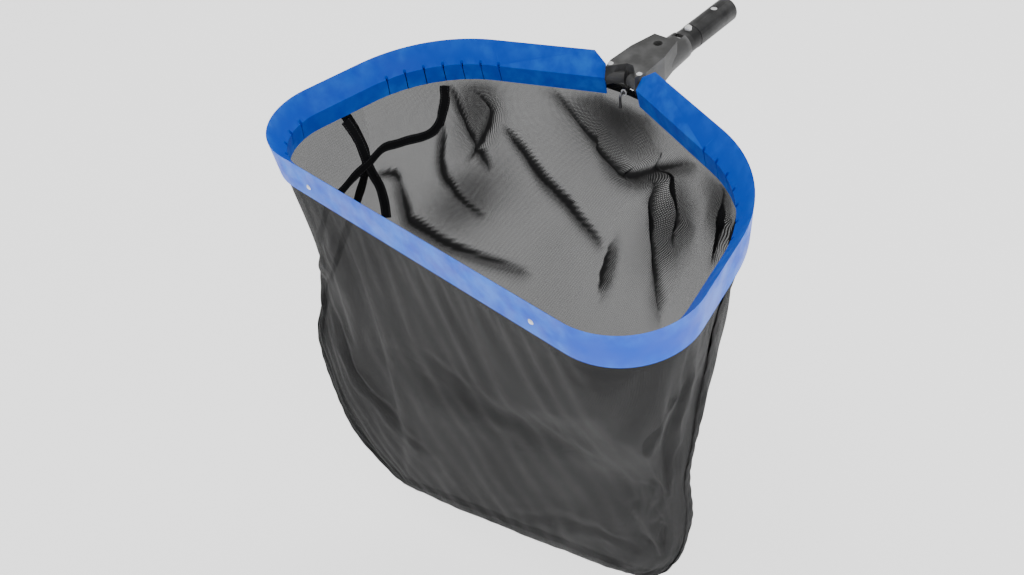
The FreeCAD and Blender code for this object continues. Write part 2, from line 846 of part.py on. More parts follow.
def hoop_rivets():
    """Rivets through the yoke's sockets and the hoop's ends, with a head at the top and bottom."""
    rivets = []
    web_top = size("yoke_web_top")
    low = SOCKET_FLAT - 0.06
    for side, sign in sides:
        x = hoop_end_half[0] * sign
        y = hoop_end_half[1]
        head_height = size("hoop_rivet_head_height")
        shank = cylinder(
            f"hoop_rivet_shank_{side}",
            size("hoop_rivet_radius"),
            web_top - low + head_height + RIVET_FOOT,
            (x, y, low - RIVET_FOOT),
        )
        head_radius = size("hoop_rivet_head_radius")
        head = cone(
            f"hoop_rivet_head_{side}", head_radius, head_radius * 0.5, head_height, (x, y, web_top + 0.06)
        )
        foot = cylinder(
            f"hoop_rivet_foot_{side}", head_radius * 0.8, RIVET_FOOT, (x, y, low), (0, 0, -1)
        )
        rivets.append(fuse(f"hoop_rivet_{side}", [shank, head, foot]))
    return rivets


keep(group("hoop_rivet_set", hoop_rivets()), "hoop_rivets")

# ---------------------------------------------------------------- pole clip

strip = size("clip_strip")
half_height = size("clip_half_height")
half_width = size("clip_width") / 2
bridge_low_y = -size("clip_bridge_length")
bend_y = size("clip_bridge_length") * 0.75
HINGE_Y = bridge_low_y - size("seat_gap")
ARM_END_Y = SHOULDER_Y - size("notch_length") + 0.8
bridge_outer = box(
    "bridge_outer", (-half_width, bridge_low_y, -half_height), (half_width, bend_y, half_height)
)
bridge_inner = box(
    "bridge_inner",
    (-half_width - 1, bridge_low_y - 1, -half_height + strip),
    (half_width + 1, bend_y - strip, half_height - strip),
)
bridge_rivet_hole = cross_hole("bridge_rivet_hole", size("rivet_radius") + hole_gap, term(0))
bridge_rounding = doc.addObject("Part::Fillet", "bridge_rounding")
doc.recompute()
bridge_rounding.Base = bridge_outer
bend_edges = [
    (index + 1, strip.number * 2, strip.number * 2)
    for index, edge in enumerate(bridge_outer.Shape.Edges)
    if abs(edge.CenterOfMass.y - bend_y.number) < 0.01
    and abs(abs(edge.CenterOfMass.z) - half_height.number) < 0.01
]
bridge_rounding.Edges = bend_edges
keep(cut("bridge_cut", bridge_rounding, [bridge_inner, bridge_rivet_hole]), "clip_bridge")


def clip_rivet():
    reach = HEAD_TOP * 2
    shank = cylinder("clip_rivet_shank", size("rivet_radius"), reach, (0, 0, -HEAD_TOP))
    parts = [shank]
    for side, sign in (("upper", 1), ("lower", -1)):
        base = (HEAD_TOP - size("rivet_head_height")) * sign
        parts.append(
            cylinder(
                f"clip_rivet_head_{side}",
                size("rivet_head_radius"),
                size("rivet_head_height"),
                (0, 0, base),
                (0, 0, sign),
            )
        )
    return fuse("clip_rivet_solid", parts)


keep(clip_rivet(), "clip_rivet")

PIN_TOP = size("shank_radius") + size("lock_pin_throw")
for side, sign in (("upper", 1), ("lower", -1)):
    outer = half_height * sign
    inner = (half_height - strip) * sign
    low_z, high_z = (inner, outer) if sign > 0 else (outer, inner)
    strip_box = box(
        f"{side}_arm_strip", (-half_width, ARM_END_Y, low_z), (half_width, HINGE_Y, high_z)
    )
    stem_hole = cylinder(
        f"{side}_arm_pin_hole",
        size("lock_pin_radius") * 0.5 + hole_gap,
        size("clip_half_height") + 4,
        (0, LOCK_PIN_Y, 0),
        (0, 0, sign),
    )
    keep(cut(f"{side}_arm_cut", strip_box, [stem_hole]), f"{side}_clip_arm")
    pin_base = (half_height + 0.02) * sign
    body_height = PIN_TOP - half_height - size("lock_pin_radius") * 0.45
    pin_radius = size("lock_pin_radius")
    pin_body = cylinder(
        f"{side}_pin_body", pin_radius, body_height, (0, LOCK_PIN_Y, pin_base), (0, 0, sign)
    )
    pin_nose = cone(
        f"{side}_pin_nose",
        pin_radius,
        pin_radius * 0.55,
        pin_radius * 0.45,
        (0, LOCK_PIN_Y, pin_base + body_height * sign),
        (0, 0, sign),
    )
    pin_stem = cylinder(
        f"{side}_pin_stem",
        pin_radius * 0.5,
        strip + 0.9,
        (0, LOCK_PIN_Y, (half_height - strip - 0.8) * sign),
        (0, 0, sign),
    )
    keep(fuse(f"{side}_pin_solid", [pin_body, pin_nose, pin_stem]), f"{side}_lock_pin")
    pad_low = (half_height + 0.02) * sign
    pad_high = (half_height + size("clip_pad_height")) * sign
    pad_ends = (pad_low, pad_high) if sign > 0 else (pad_high, pad_low)
    pad = box(
        f"{side}_pad_block",
        (-half_width, ARM_END_Y, pad_ends[0]),
        (half_width, SHOULDER_Y - 0.9, pad_ends[1]),
    )
    keep(pad, f"{side}_finger_pad")

# ---------------------------------------------------------------- hem band, eyelet and hook

band_half = GUARD_END_X - 0.6
band_low = EYELET_Z - size("band_height") / 2
band_high = EYELET_Z + size("band_height") / 2
band_box = box(
    "band_box",
    (-band_half, BAND_Y - size("band_thickness") / 2, band_low),
    (band_half, BAND_Y + size("band_thickness") / 2, band_high),
)
barrel_radius = size("eyelet_hole_radius") + size("eyelet_rim") * 0.4
barrel_hole = barrel_radius + hole_gap
band_hole = cylinder("band_hole", barrel_hole, term(10), (0, BAND_Y - 5, EYELET_Z), (0, 1, 0))
keep(cut("band_cut", band_box, [band_hole]), "handle_hem_band")


def eyelet():
    """A barrel through the hem band and the cloth, with a flange on each side."""
    back = BAND_Y + size("band_thickness") / 2 + 0.05
    front = BAG_BACK_Y - size("bag_cloth") - 0.15
    flange = size("eyelet_flange")
    outer = size("eyelet_hole_radius") + size("eyelet_rim")
    barrel = cylinder("eyelet_barrel", barrel_radius, back - front, (0, front, EYELET_Z), (0, 1, 0))
    inside = cylinder("eyelet_inside", outer, flange, (0, front, EYELET_Z), (0, -1, 0))
    outside = cylinder("eyelet_outside", outer, flange, (0, back, EYELET_Z), (0, 1, 0))
    hole = cylinder(
        "eyelet_hole", size("eyelet_hole_radius"), term(12), (0, BAND_Y - 6, EYELET_Z), (0, 1, 0)
    )
    return cut("eyelet_cut", fuse("eyelet_solid", [barrel, inside, outside]), [hole])


keep(eyelet(), "hem_eyelet")


def hook():
    """Round wire: straight forward out of the yoke and through the eyelet, then bent down."""
    body = new_body("hook_blank")
    path = new_sketch(body, "hook_path", "YZ_Plane")
    bend = size("hook_bend_radius")
    root_y = crotch_y + 6
    turn_y = BAND_Y - size("hook_reach")
    low_end = EYELET_Z - bend - size("hook_drop")
    root = Vector(root_y.number, EYELET_Z.number, 0)
    bend_start = Vector(turn_y.number, EYELET_Z.number, 0)
    middle = Vector(turn_y.number, (EYELET_Z - bend).number, 0)
    bend_end = Vector((turn_y - bend).number, (EYELET_Z - bend).number, 0)
    tip = Vector((turn_y - bend).number, low_end.number, 0)
    path.addGeometry(Part.LineSegment(root, bend_start), False)
    quarter = math.pi / 2
    circle = Part.Circle(middle, Vector(0, 0, 1), bend.number)
    path.addGeometry(Part.ArcOfCircle(circle, quarter, 2 * quarter), False)
    path.addGeometry(Part.LineSegment(bend_end, tip), False)
    path.addConstraint(Sketcher.Constraint("Tangent", 0, 2, 1, 1))
    path.addConstraint(Sketcher.Constraint("Tangent", 1, 2, 2, 1))
    path.addConstraint(Sketcher.Constraint("Horizontal", 0))
    pin_point(path, 0, 1, (root_y, EYELET_Z))
    constrain(path, turn_y, "DistanceX", -1, 1, 1, 3)
    constrain(path, bend, "Radius", 1)
    path.addConstraint(Sketcher.Constraint("Vertical", 2))
    constrain(path, low_end, "DistanceY", -1, 1, 2, 2)
    profile = new_sketch(body, "hook_profile", "XZ_Plane")
    profile.AttachmentOffset = Placement(Vector(0, 0, -root_y.number), Rotation())
    bind(profile, "AttachmentOffset.Base.z", -root_y)
    draw_circle(profile, (term(0), EYELET_Z), size("hook_radius"))
    doc.recompute()
    pipe = body.newObject("PartDesign::AdditivePipe", "hook_pipe")
    pipe.Profile = profile
    pipe.Spine = (path, ["Edge1", "Edge2", "Edge3"])
    body.Tip = pipe
    doc.recompute()
    return body


keep(hook(), "bag_hook")

# ---------------------------------------------------------------- bag

BAG_DEPTH = size("bag_depth").number
RING_POINTS = 384
SEAM_SHARE = 0.265
FOLD_RADIUS = 7.0
LEVEL_SHARES = [0.0, 0.035, 0.1, 0.2, 0.32, 0.44, 0.56, 0.67, 0.77, 0.85, 0.91, 0.96, 1.0]


def rim_spot(share):
    """A spot on the hem line, at a share of the way round from the middle of the front."""
    if share > 0.5:
        other = rim_spot(1.0 - share)
        return Vector(-other.x, other.y, 0)
    along = 2.0 * share * (RIM_HALF_LENGTH + GUARD_END_X.number)
    if along > RIM_HALF_LENGTH:
        return Vector(GUARD_END_X.number - along + RIM_HALF_LENGTH, BAG_BACK_Y.number, 0)
    return rim_point(BAG_INSET, RIM_HALF_LENGTH - along)[0]


def rim_half_length():
    half = outline(BAG_INSET, GUARD_END_X, FRONT_Y)
    points = [Vector(*numbers(point), 0) for point in half["points"]]
    length = sum((points[2 * stage + 1] - points[2 * stage]).Length for stage in range(3))
    length += half["radii"][0].number * math.radians(size("side_turn").number)
    length += half["radii"][1].number * math.radians(size("back_turn").number)
    return length


NARROWING_START = 0.35
NARROWING = 0.55
FRONT_FULLNESS = 34.0
BACK_FULLNESS = 150.0
LEAST_FULLNESS = 12.0
MIDDLE_SWAY = -12.0
FORWARD_LEAN = 22.0


def pouch_spot(share, depth):
    """A spot on a flattened pouch: a flat front, a fuller back and rounded folds at the seams."""
    narrowing = max(0.0, (depth - NARROWING_START) / (1.0 - NARROWING_START))
    half_width = size("bag_half_width").number * math.sqrt(1.0 - NARROWING * narrowing**5)
    front = FRONT_FULLNESS * (1.0 - depth) + LEAST_FULLNESS
    back = BACK_FULLNESS * (1.0 - depth) ** 1.3 + LEAST_FULLNESS
    if share < SEAM_SHARE:
        angle = -math.pi / 2 + math.pi / 2 * share / SEAM_SHARE
    elif share > 1.0 - SEAM_SHARE:
        angle = -math.pi / 2 - math.pi / 2 * (1.0 - share) / SEAM_SHARE
    else:
        angle = math.pi * (share - SEAM_SHARE) / (1.0 - 2.0 * SEAM_SHARE)
    long_side = half_width - FOLD_RADIUS
    short_side = (back if math.sin(angle) > 0 else front) - FOLD_RADIUS
    normal = Vector(short_side * math.cos(angle), long_side * math.sin(angle), 0)
    normal.normalize()
    spot = Vector(long_side * math.cos(angle), short_side * math.sin(angle), 0)
    spot = spot + normal * FOLD_RADIUS
    turn = math.radians(size("bag_twist").number * math.sin(math.pi / 2 * depth))
    middle_x = MIDDLE_SWAY * math.sin(math.pi * depth)
    middle_y = FRONT_Y.number + size("bag_depth_ahead").number - FORWARD_LEAN * depth
    return Vector(
        middle_x + spot.x * math.cos(turn) - spot.y * math.sin(turn),
        middle_y + spot.x * math.sin(turn) + spot.y * math.cos(turn),
        0,
    )


RIM_HALF_LENGTH = rim_half_length()
RIM_RING = [rim_spot(index / RING_POINTS) for index in range(RING_POINTS)]


def bag_ring(depth):
    """The bag's outer line at a share of its depth, as (spot, inward normal) all the way round."""
    part_way = min(1.0, max(0.0, (depth - 0.035) / 0.52))
    blend = part_way * part_way * (3.0 - 2.0 * part_way)
    rise = Vector(0, 0, BAG_TOP.number - depth * BAG_DEPTH)
    spots = [
        rim * (1.0 - blend) + pouch_spot(index / RING_POINTS, depth) * blend + rise
        for index, rim in enumerate(RIM_RING)
    ]
    ring = []
    for index in range(RING_POINTS):
        along = spots[(index + 2) % RING_POINTS] - spots[index - 2]
        normal = Vector(-along.y, along.x, 0)
        normal.normalize()
        ring.append((spots[index], normal))
    return ring


def ring_lengths(ring):
    lengths = [0.0]
    for index in range(1, len(ring) + 1):
        step = ring[index % len(ring)][0] - ring[index - 1][0]
        lengths.append(lengths[-1] + step.Length)
    return lengths


def ring_spot(ring, lengths, along):
    """Spot and inward normal at a distance round the ring."""
    along = along % lengths[-1]
    index = bisect.bisect_right(lengths, along) - 1
    share = (along - lengths[index]) / (lengths[index + 1] - lengths[index])
    first = ring[index]
    after = ring[(index + 1) % len(ring)]
    normal = first[1] * (1.0 - share) + after[1] * share
    normal.normalize()
    return first[0] * (1.0 - share) + after[0] * share, normal


def stretch_wire(ring, start, end, insets, count):
    """Closed wire round a stretch of cloth: its outer face, its inner face and two short ends."""
    lengths = ring_lengths(ring)
    if end < start:
        end += lengths[-1]
    stops = [place / (count - 1) for place in range(count)]
    faces = []
    for inset in insets:
        points = []
        for stop in stops:
            spot, normal = ring_spot(ring, lengths, start + (end - start) * stop)
            points.append(spot + normal * inset)
        faces.append(points)
    edges = []
    for points in faces:
        curve = Part.BSplineCurve()
        curve.interpolate(Points=points, Parameters=stops)
        edges.append(curve.toShape())
    edges.append(Part.makeLine(faces[0][-1], faces[1][-1]))
    edges.append(Part.makeLine(faces[1][0], faces[0][0]))
    return Part.Wire(Part.__sortEdges__(edges))


def loft(name, wires, ruled=False):
    sections = []
    for index, wire in enumerate(wires):
        section = doc.addObject("Part::Feature", f"{name}_section_{index}")
        section.Shape = wire
        sections.append(section)
    thing = doc.addObject("Part::Loft", name)
    thing.Sections = sections
    thing.Solid = True
    thing.Ruled = ruled
    return thing


BAG_RINGS = [bag_ring(share) for share in LEVEL_SHARES]
PANEL_RINGS = BAG_RINGS[:-1] + [bag_ring(1.0 - 2.0 * size("binding_gap").number / BAG_DEPTH)]
HALF_BINDING = size("binding_width").number / 2


def seam_lengths(ring):
    lengths = ring_lengths(ring)
    first = round(SEAM_SHARE * RING_POINTS)
    return lengths[first], lengths[RING_POINTS - first]


def panel(name, front):
    """One panel of the bag, from seam to seam: the front one passes the front lip."""
    clear = HALF_BINDING + size("binding_gap").number
    insets = (0.0, size("bag_cloth").number)
    wires = []
    for ring in PANEL_RINGS:
        right, left = seam_lengths(ring)
        start, end = (left + clear, right - clear) if front else (right + clear, left - clear)
        wires.append(stretch_wire(ring, start, end, insets, 30))
    return loft(name, wires)


def seam_strip(name, side):
    proud = (size("binding_thickness").number - size("bag_cloth").number) / 2
    insets = (-proud, size("bag_cloth").number + proud)
    wires = []
    for ring in BAG_RINGS:
        middle = seam_lengths(ring)[side]
        wires.append(stretch_wire(ring, middle - HALF_BINDING, middle + HALF_BINDING, insets, 7))
    return loft(name, wires)


def bottom_binding():
    """The flat tape that closes the bag's bottom edge, just under the two panels' lower edges."""
    rise = Vector(0, 0, size("binding_gap").number)
    points = [spot + rise for spot, _ in BAG_RINGS[-1][::3]]
    curve = Part.BSplineCurve()
    curve.interpolate(Points=points, PeriodicFlag=True)
    wire = doc.addObject("Part::Feature", "bottom_binding_line")
    wire.Shape = Part.Wire([curve.toShape()])
    plate = doc.addObject("Part::Extrusion", "bottom_binding_plate")
    plate.Base = wire
    plate.DirMode = "Custom"
    plate.Dir = Vector(0, 0, -1)
    plate.Solid = True
    bind(plate, "LengthFwd", size("binding_thickness"))
    return plate


keep(panel("bag_front", True), "bag_front_panel")
dip = box(
    "bag_dip",
    (-GUARD_END_X - 1, BAG_BACK_Y - 12, DIP_TOP),
    (GUARD_END_X + 1, BAG_BACK_Y + 12, BAG_TOP + 5),
)
cloth_hole = cylinder("bag_eyelet_hole", barrel_hole, term(20), (0, BAG_BACK_Y - 10, EYELET_Z), (0, 1, 0))
keep(cut("bag_back_cut", panel("bag_back", False), [dip, cloth_hole]), "bag_back_panel")
seam_pieces = [seam_strip("right_seam", 0), seam_strip("left_seam", 1), bottom_binding()]
keep(fuse("seam_binding_solid", seam_pieces), "seam_binding")

# Inner tapes: stations of (distance from the seam towards the back, share of the depth).
# One runs from the back of the rim, down, and forward past the seam to the front panel.
CROSS_TAPE = [(118.0, 0.047), (110.0, 0.1), (70.0, 0.16), (10.0, 0.2), (-60.0, 0.26), (-105.0, 0.36)]
# The long one starts ahead of the seam and crosses it on the way down.
LONG_TAPE = [(-24.0, 0.047), (0.0, 0.165), (40.0, 0.25), (69.0, 0.315)]
LONG_LIFT = 1.1
CROSS_LIFT = 2.4


def tape(name, side, stations, lift):
    """A flat tape just inside the cloth, square to its own path at every station."""
    gap = size("bag_cloth").number + size("seat_gap").number + lift
    towards_back = 1 if side == 0 else -1
    spots = []
    for offset, share in stations:
        ring = bag_ring(share)
        middle = seam_lengths(ring)[side]
        spots.append(ring_spot(ring, ring_lengths(ring), middle + towards_back * offset))
    line = Part.BSplineCurve()
    line.interpolate([spot for spot, _ in spots])
    count = 14
    first, last = line.FirstParameter, line.LastParameter
    wires = []
    for index in range(count):
        place = first + (last - first) * index / (count - 1)
        centre = line.value(place)
        ring = bag_ring(max(0.0, (BAG_TOP.number - centre.z) / BAG_DEPTH))
        nearest = min(ring, key=lambda item: (item[0] - centre).Length)
        inside = nearest[1]
        centre = centre + inside * (nearest[0] - centre).dot(inside)
        along = line.tangent(place)[0]
        across = along.cross(inside)
        across.normalize()
        half = across * (size("tape_width").number / 2)
        low = centre + inside * gap
        high = centre + inside * (gap + size("tape_thickness").number)
        wires.append(Part.makePolygon([low - half, low + half, high + half, high - half, low - half]))
    return loft(name, wires, True)


for side_name, side in (("right", 0), ("left", 1)):
    keep(tape(f"{side_name}_cross", side, CROSS_TAPE, CROSS_LIFT), f"{side_name}_cross_tape")
    keep(tape(f"{side_name}_long", side, LONG_TAPE, LONG_LIFT), f"{side_name}_long_tape")

# ---------------------------------------------------------------- check and write

doc.recompute()
for item in doc.Objects:
    if "Invalid" in item.State or "Error" in item.State:
        raise RuntimeError(f"{item.Label} failed: {item.State}")
for node in NODES:
    if node.Shape.isNull() or not node.Shape.isValid():
        raise RuntimeError(f"{node.Label} has no valid shape")

os.makedirs("parts", exist_ok=True)
for node in NODES:
    node.Shape.exportStep(f"parts/{node.Label}.step")
    box_of = node.Shape.BoundBox
    print(
        f"{node.Label}: {len(node.Shape.Solids)} solids, {node.Shape.Volume:.0f} mm3, "
        f"x {box_of.XMin:.1f} {box_of.XMax:.1f}, y {box_of.YMin:.1f} {box_of.YMax:.1f}, "
        f"z {box_of.ZMin:.1f} {box_of.ZMax:.1f}"
    )
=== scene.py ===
import math

import bpy
import numpy as np
from mathutils import Matrix, Vector
from mathutils.bvhtree import BVHTree


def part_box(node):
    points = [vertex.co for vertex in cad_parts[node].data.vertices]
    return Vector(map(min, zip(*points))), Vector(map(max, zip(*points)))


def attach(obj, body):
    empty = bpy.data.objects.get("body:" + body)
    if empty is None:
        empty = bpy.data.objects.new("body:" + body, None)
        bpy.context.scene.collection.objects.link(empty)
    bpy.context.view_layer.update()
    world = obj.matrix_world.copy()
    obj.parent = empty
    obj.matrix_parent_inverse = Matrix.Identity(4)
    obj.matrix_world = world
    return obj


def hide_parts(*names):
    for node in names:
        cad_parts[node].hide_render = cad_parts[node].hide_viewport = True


# Leaf skimmer net. Metres, in the frame of the model: +Z up out of the scoop, +Y to the pole.
# The moulded and metal parts keep their own shapes and get finishes; the bag, its hem, its
# bindings and its inner tapes are made here as hanging cloth.

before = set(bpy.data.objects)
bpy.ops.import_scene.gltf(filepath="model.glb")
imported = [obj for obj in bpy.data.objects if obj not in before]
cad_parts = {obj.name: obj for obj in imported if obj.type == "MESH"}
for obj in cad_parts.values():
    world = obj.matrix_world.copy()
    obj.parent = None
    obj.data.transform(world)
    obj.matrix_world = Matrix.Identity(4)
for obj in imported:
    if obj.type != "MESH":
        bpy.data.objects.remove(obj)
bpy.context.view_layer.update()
NET = "net"

# ---------------------------------------------------------------- sizes

MM = 0.001
RIM_FRONT = 185 * MM
FRONT_CORNER = 75 * MM
SIDE_TURN = math.radians(100.8)
RIM_SIDE = 68 * MM
BACK_CORNER = 156 * MM
BACK_TURN = math.radians(57.9)
GUARD_END = 26.5 * MM
HOOP_INSET = 7.4 * MM
HOOP_RADIUS = 3.5 * MM
CLOTH_INSET = 6.9 * MM

guard_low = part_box("edge_guard")[0]
hoop_low, hoop_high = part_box("frame_hoop")
panel_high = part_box("bag_back_panel")[1]
binding_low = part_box("seam_binding")[0]
band_low, band_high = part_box("handle_hem_band")
FRONT_Y = guard_low.y
HOOP_Z = (hoop_low.z + hoop_high.z) / 2
BAG_TOP = panel_high.z
BAG_LOW = binding_low.z
BAG_DEPTH = BAG_TOP - BAG_LOW
DIP_TOP = band_high.z - 0.3 * MM
BOTTOM_CLEARANCE = 1.5 * MM

COLUMNS = 480
ROWS = 177
DRAPE_STEP = 2
SEAM_SHARE = 0.265
FOLD_RADIUS = 7 * MM
BAG_HALF_WIDTH = 257 * MM
BAG_TWIST = math.radians(16)
NARROWING_START = 0.35
NARROWING = 0.55
CLOSING_START = 0.955
CLOSED_SHARE = 0.04
FRONT_FULLNESS = 34 * MM
BACK_FULLNESS = 150 * MM
LEAST_FULLNESS = 12 * MM
MIDDLE_SWAY = -12 * MM
MIDDLE_AHEAD = 62 * MM
FORWARD_LEAN = 22 * MM
BLEND_START = 0.035
BLEND_LENGTH = 0.52
RIM_STEPS = 60
GAP_STEPS = 10
SEAM_COLUMN = round(SEAM_SHARE * COLUMNS)
HEM_SHARE = 0.036
DRAPE_LIMIT = 5 * MM
DRAPE_FRAMES = 16


# ---------------------------------------------------------------- bag shape

def rim_line(inset):
    """Closely spaced points along the rim's outline, from the front's middle to the handle's middle."""
    points = []
    spot = np.array([0.0, FRONT_Y + inset])
    heading = 0.0
    stretches = (
        (RIM_FRONT, 0.0, 0.0),
        (0.0, FRONT_CORNER - inset, SIDE_TURN),
        (RIM_SIDE, 0.0, 0.0),
        (0.0, BACK_CORNER - inset, BACK_TURN),
    )
    for length, radius, turn in stretches:
        if turn:
            centre = spot + radius * np.array([-math.sin(heading), math.cos(heading)])
            for step in range(RIM_STEPS):
                angle = heading + turn * step / RIM_STEPS
                points.append(centre + radius * np.array([math.sin(angle), -math.cos(angle)]))
            heading += turn
            spot = centre + radius * np.array([math.sin(heading), -math.cos(heading)])
        else:
            along = np.array([math.cos(heading), math.sin(heading)])
            points += [spot + along * length * step / RIM_STEPS for step in range(RIM_STEPS)]
            spot = spot + along * length
    last = (GUARD_END - spot[0]) / math.cos(heading)
    end = spot + last * np.array([math.cos(heading), math.sin(heading)])
    points += [spot + (end - spot) * step / RIM_STEPS for step in range(RIM_STEPS)]
    points += [end * [1 - step / GAP_STEPS, 1] for step in range(GAP_STEPS + 1)]
    return np.array(points)


def rim_ring(inset, count):
    """The whole outline as evenly spaced points, starting at the front's middle and going to +X."""
    half = rim_line(inset)
    whole = np.vstack([half, (half[:-1] * [-1, 1])[::-1]])
    steps = np.linalg.norm(np.diff(whole, axis=0), axis=1)
    along = np.concatenate([[0], np.cumsum(steps)])
    shares = np.arange(count) / count * along[-1]
    return np.stack([np.interp(shares, along, whole[:, axis]) for axis in (0, 1)], axis=1)


def pouch_ring(shares, depth):
    """The hanging pouch at a depth: a flat front, a fuller back, rounded folds and a slight twist."""
    narrowing = max(0.0, (depth - NARROWING_START) / (1 - NARROWING_START))
    closing = max(0.0, depth - CLOSING_START) / (1 - CLOSING_START)
    flattened = max(math.sqrt(max(0.0, 1 - closing**2)), CLOSED_SHARE)
    half_width = BAG_HALF_WIDTH * math.sqrt(1 - NARROWING * narrowing**5)
    front = FRONT_FULLNESS * (1 - depth) + LEAST_FULLNESS
    back = BACK_FULLNESS * (1 - depth) ** 1.3 + LEAST_FULLNESS
    quarter = math.pi / 2
    angles = np.where(
        shares < SEAM_SHARE,
        -quarter + quarter * shares / SEAM_SHARE,
        math.pi * (shares - SEAM_SHARE) / (1 - 2 * SEAM_SHARE),
    )
    angles = np.where(shares > 1 - SEAM_SHARE, -quarter - quarter * (1 - shares) / SEAM_SHARE, angles)
    wide = half_width - FOLD_RADIUS
    deep = np.where(np.sin(angles) > 0, back, front) - FOLD_RADIUS
    normals = np.stack([deep * np.cos(angles), wide * np.sin(angles)], axis=1)
    normals /= np.linalg.norm(normals, axis=1)[:, None]
    spots = np.stack([wide * np.cos(angles), deep * np.sin(angles)], axis=1) + normals * FOLD_RADIUS
    spots[:, 1] *= flattened
    turn = BAG_TWIST * math.sin(quarter * depth)
    middle_x = MIDDLE_SWAY * math.sin(math.pi * depth)
    middle_y = FRONT_Y + MIDDLE_AHEAD - FORWARD_LEAN * depth
    x = middle_x + spots[:, 0] * math.cos(turn) - spots[:, 1] * math.sin(turn)
    y = middle_y + spots[:, 0] * math.sin(turn) + spots[:, 1] * math.cos(turn)
    return np.stack([x, y], axis=1)


def bag_grid():
    """Rows of points from the hem down to the bottom seam, before any creases."""
    shares = np.arange(COLUMNS) / COLUMNS
    rim = rim_ring(CLOTH_INSET, COLUMNS)
    in_gap = np.clip((GUARD_END + 3 * MM - abs(rim[:, 0])) / (2 * MM), 0, 1)
    at_handle = in_gap * (rim[:, 1] > FRONT_Y / 2)
    tops = BAG_TOP - (BAG_TOP - DIP_TOP) * at_handle
    rows = []
    for row in range(ROWS):
        depth = row / (ROWS - 1)
        part_way = min(1.0, max(0.0, (depth - BLEND_START) / BLEND_LENGTH))
        blend = part_way * part_way * (3 - 2 * part_way)
        flat = rim * (1 - blend) + pouch_ring(shares, depth) * blend
        heights = tops + (BAG_LOW + BOTTOM_CLEARANCE - tops) * depth
        rows.append(np.column_stack([flat, heights]))
    return np.array(rows)


def grid_normals(grid):
    """Normals of the grid that point into the bag."""
    along = np.roll(grid, -1, axis=1) - np.roll(grid, 1, axis=1)
    down = np.gradient(grid, axis=0)
    normals = np.cross(along, down)
    normals /= np.linalg.norm(normals, axis=2)[:, :, None] + 1e-12
    inward = np.stack([-along[:, :, 1], along[:, :, 0], np.zeros(along.shape[:2])], axis=2)
    return normals * np.sign((normals * inward).sum(axis=2))[:, :, None]


# Creases: (places as (share round, share of the depth), height in mm, width in mm, inwards or not).
# Most are on the back panel, where the slack cloth folds over itself below the handle.
CREASES = (
    ([(0.565, 0.04), (0.526, 0.13), (0.482, 0.175), (0.448, 0.115), (0.417, 0.065)], 13, 8, 1),
    ([(0.462, 0.15), (0.443, 0.205), (0.424, 0.265), (0.404, 0.33)], 14, 8, 1),
    ([(0.452, 0.12), (0.425, 0.18), (0.418, 0.235)], 8, 6, 1),
    ([(0.604, 0.145), (0.549, 0.235), (0.482, 0.3)], 8, 4, 1),
    ([(0.461, 0.365), (0.471, 0.295)], 7, 5, 1),
    ([(0.656, 0.05), (0.635, 0.155), (0.602, 0.23)], 11, 5, 1),
    ([(0.637, 0.06), (0.618, 0.1), (0.62, 0.17), (0.626, 0.215)], 12, 6, 1),
    ([(0.662, 0.14), (0.652, 0.22), (0.622, 0.28), (0.585, 0.315)], 8, 4, 1),
    ([(0.648, 0.13), (0.63, 0.22), (0.63, 0.29)], 6, 8, -1),
    ([(0.69, 0.24), (0.665, 0.3), (0.648, 0.33), (0.594, 0.37), (0.526, 0.385)], 11, 5, 1),
    ([(0.66, 0.27), (0.61, 0.3), (0.56, 0.34)], 6, 7, -1),
    ([(0.5, 0.05), (0.44, 0.17), (0.39, 0.2)], 8, 12, -1),
    ([(0.378, 0.05), (0.358, 0.1), (0.362, 0.18)], 11, 6, 1),
    ([(0.72, 0.2), (0.7, 0.215), (0.688, 0.24)], 6, 4, 1),
    ([(0.55, 0.45), (0.47, 0.52), (0.38, 0.5)], 8, 18, -1),
    ([(0.62, 0.62), (0.52, 0.7), (0.42, 0.66)], 7, 18, 1),
    ([(0.9, 0.1), (0.87, 0.2), (0.82, 0.33), (0.79, 0.5)], 5, 9, -1),
    ([(0.95, 0.3), (0.04, 0.42), (0.12, 0.43)], 3, 22, 1),
    ([(0.84, 0.42), (0.86, 0.6), (0.93, 0.74)], 4, 12, 1),
    ([(0.225, 0.12), (0.21, 0.3), (0.215, 0.52)], 5, 10, 1),
    ([(0.19, 0.5), (0.17, 0.66), (0.2, 0.8)], 6, 12, -1),
    ([(0.02, 0.88), (0.09, 0.8), (0.16, 0.83)], 2, 12, 1),
)

# A crease keeps part of its width at its ends, and the cloth beside it sinks a little.
CREASE_END_WIDTH = 0.45
TROUGH_DEPTH = 0.35
TROUGH_PLACE = 1.9
# A dark line runs along each inward crease where the cloth lies double, with softer painted shade on
# one side of it.
LINE_WIDTH = 2.6 * MM
SHADE_WIDTH = 1.7
SHADE_STRENGTH = 0.55
DARKEST_FROM_HEIGHT = 8

# Where the slack cloth lies double: (share, depth, width round in m, height in m, how dark).
DOUBLED = (
    (0.507, 0.075, 0.05, 0.04, 0.5),
    (0.632, 0.1, 0.025, 0.05, 0.3),
    (0.61, 0.29, 0.045, 0.035, 0.25),
    (0.425, 0.2, 0.03, 0.04, 0.35),
    (0.37, 0.09, 0.03, 0.03, 0.4),
)


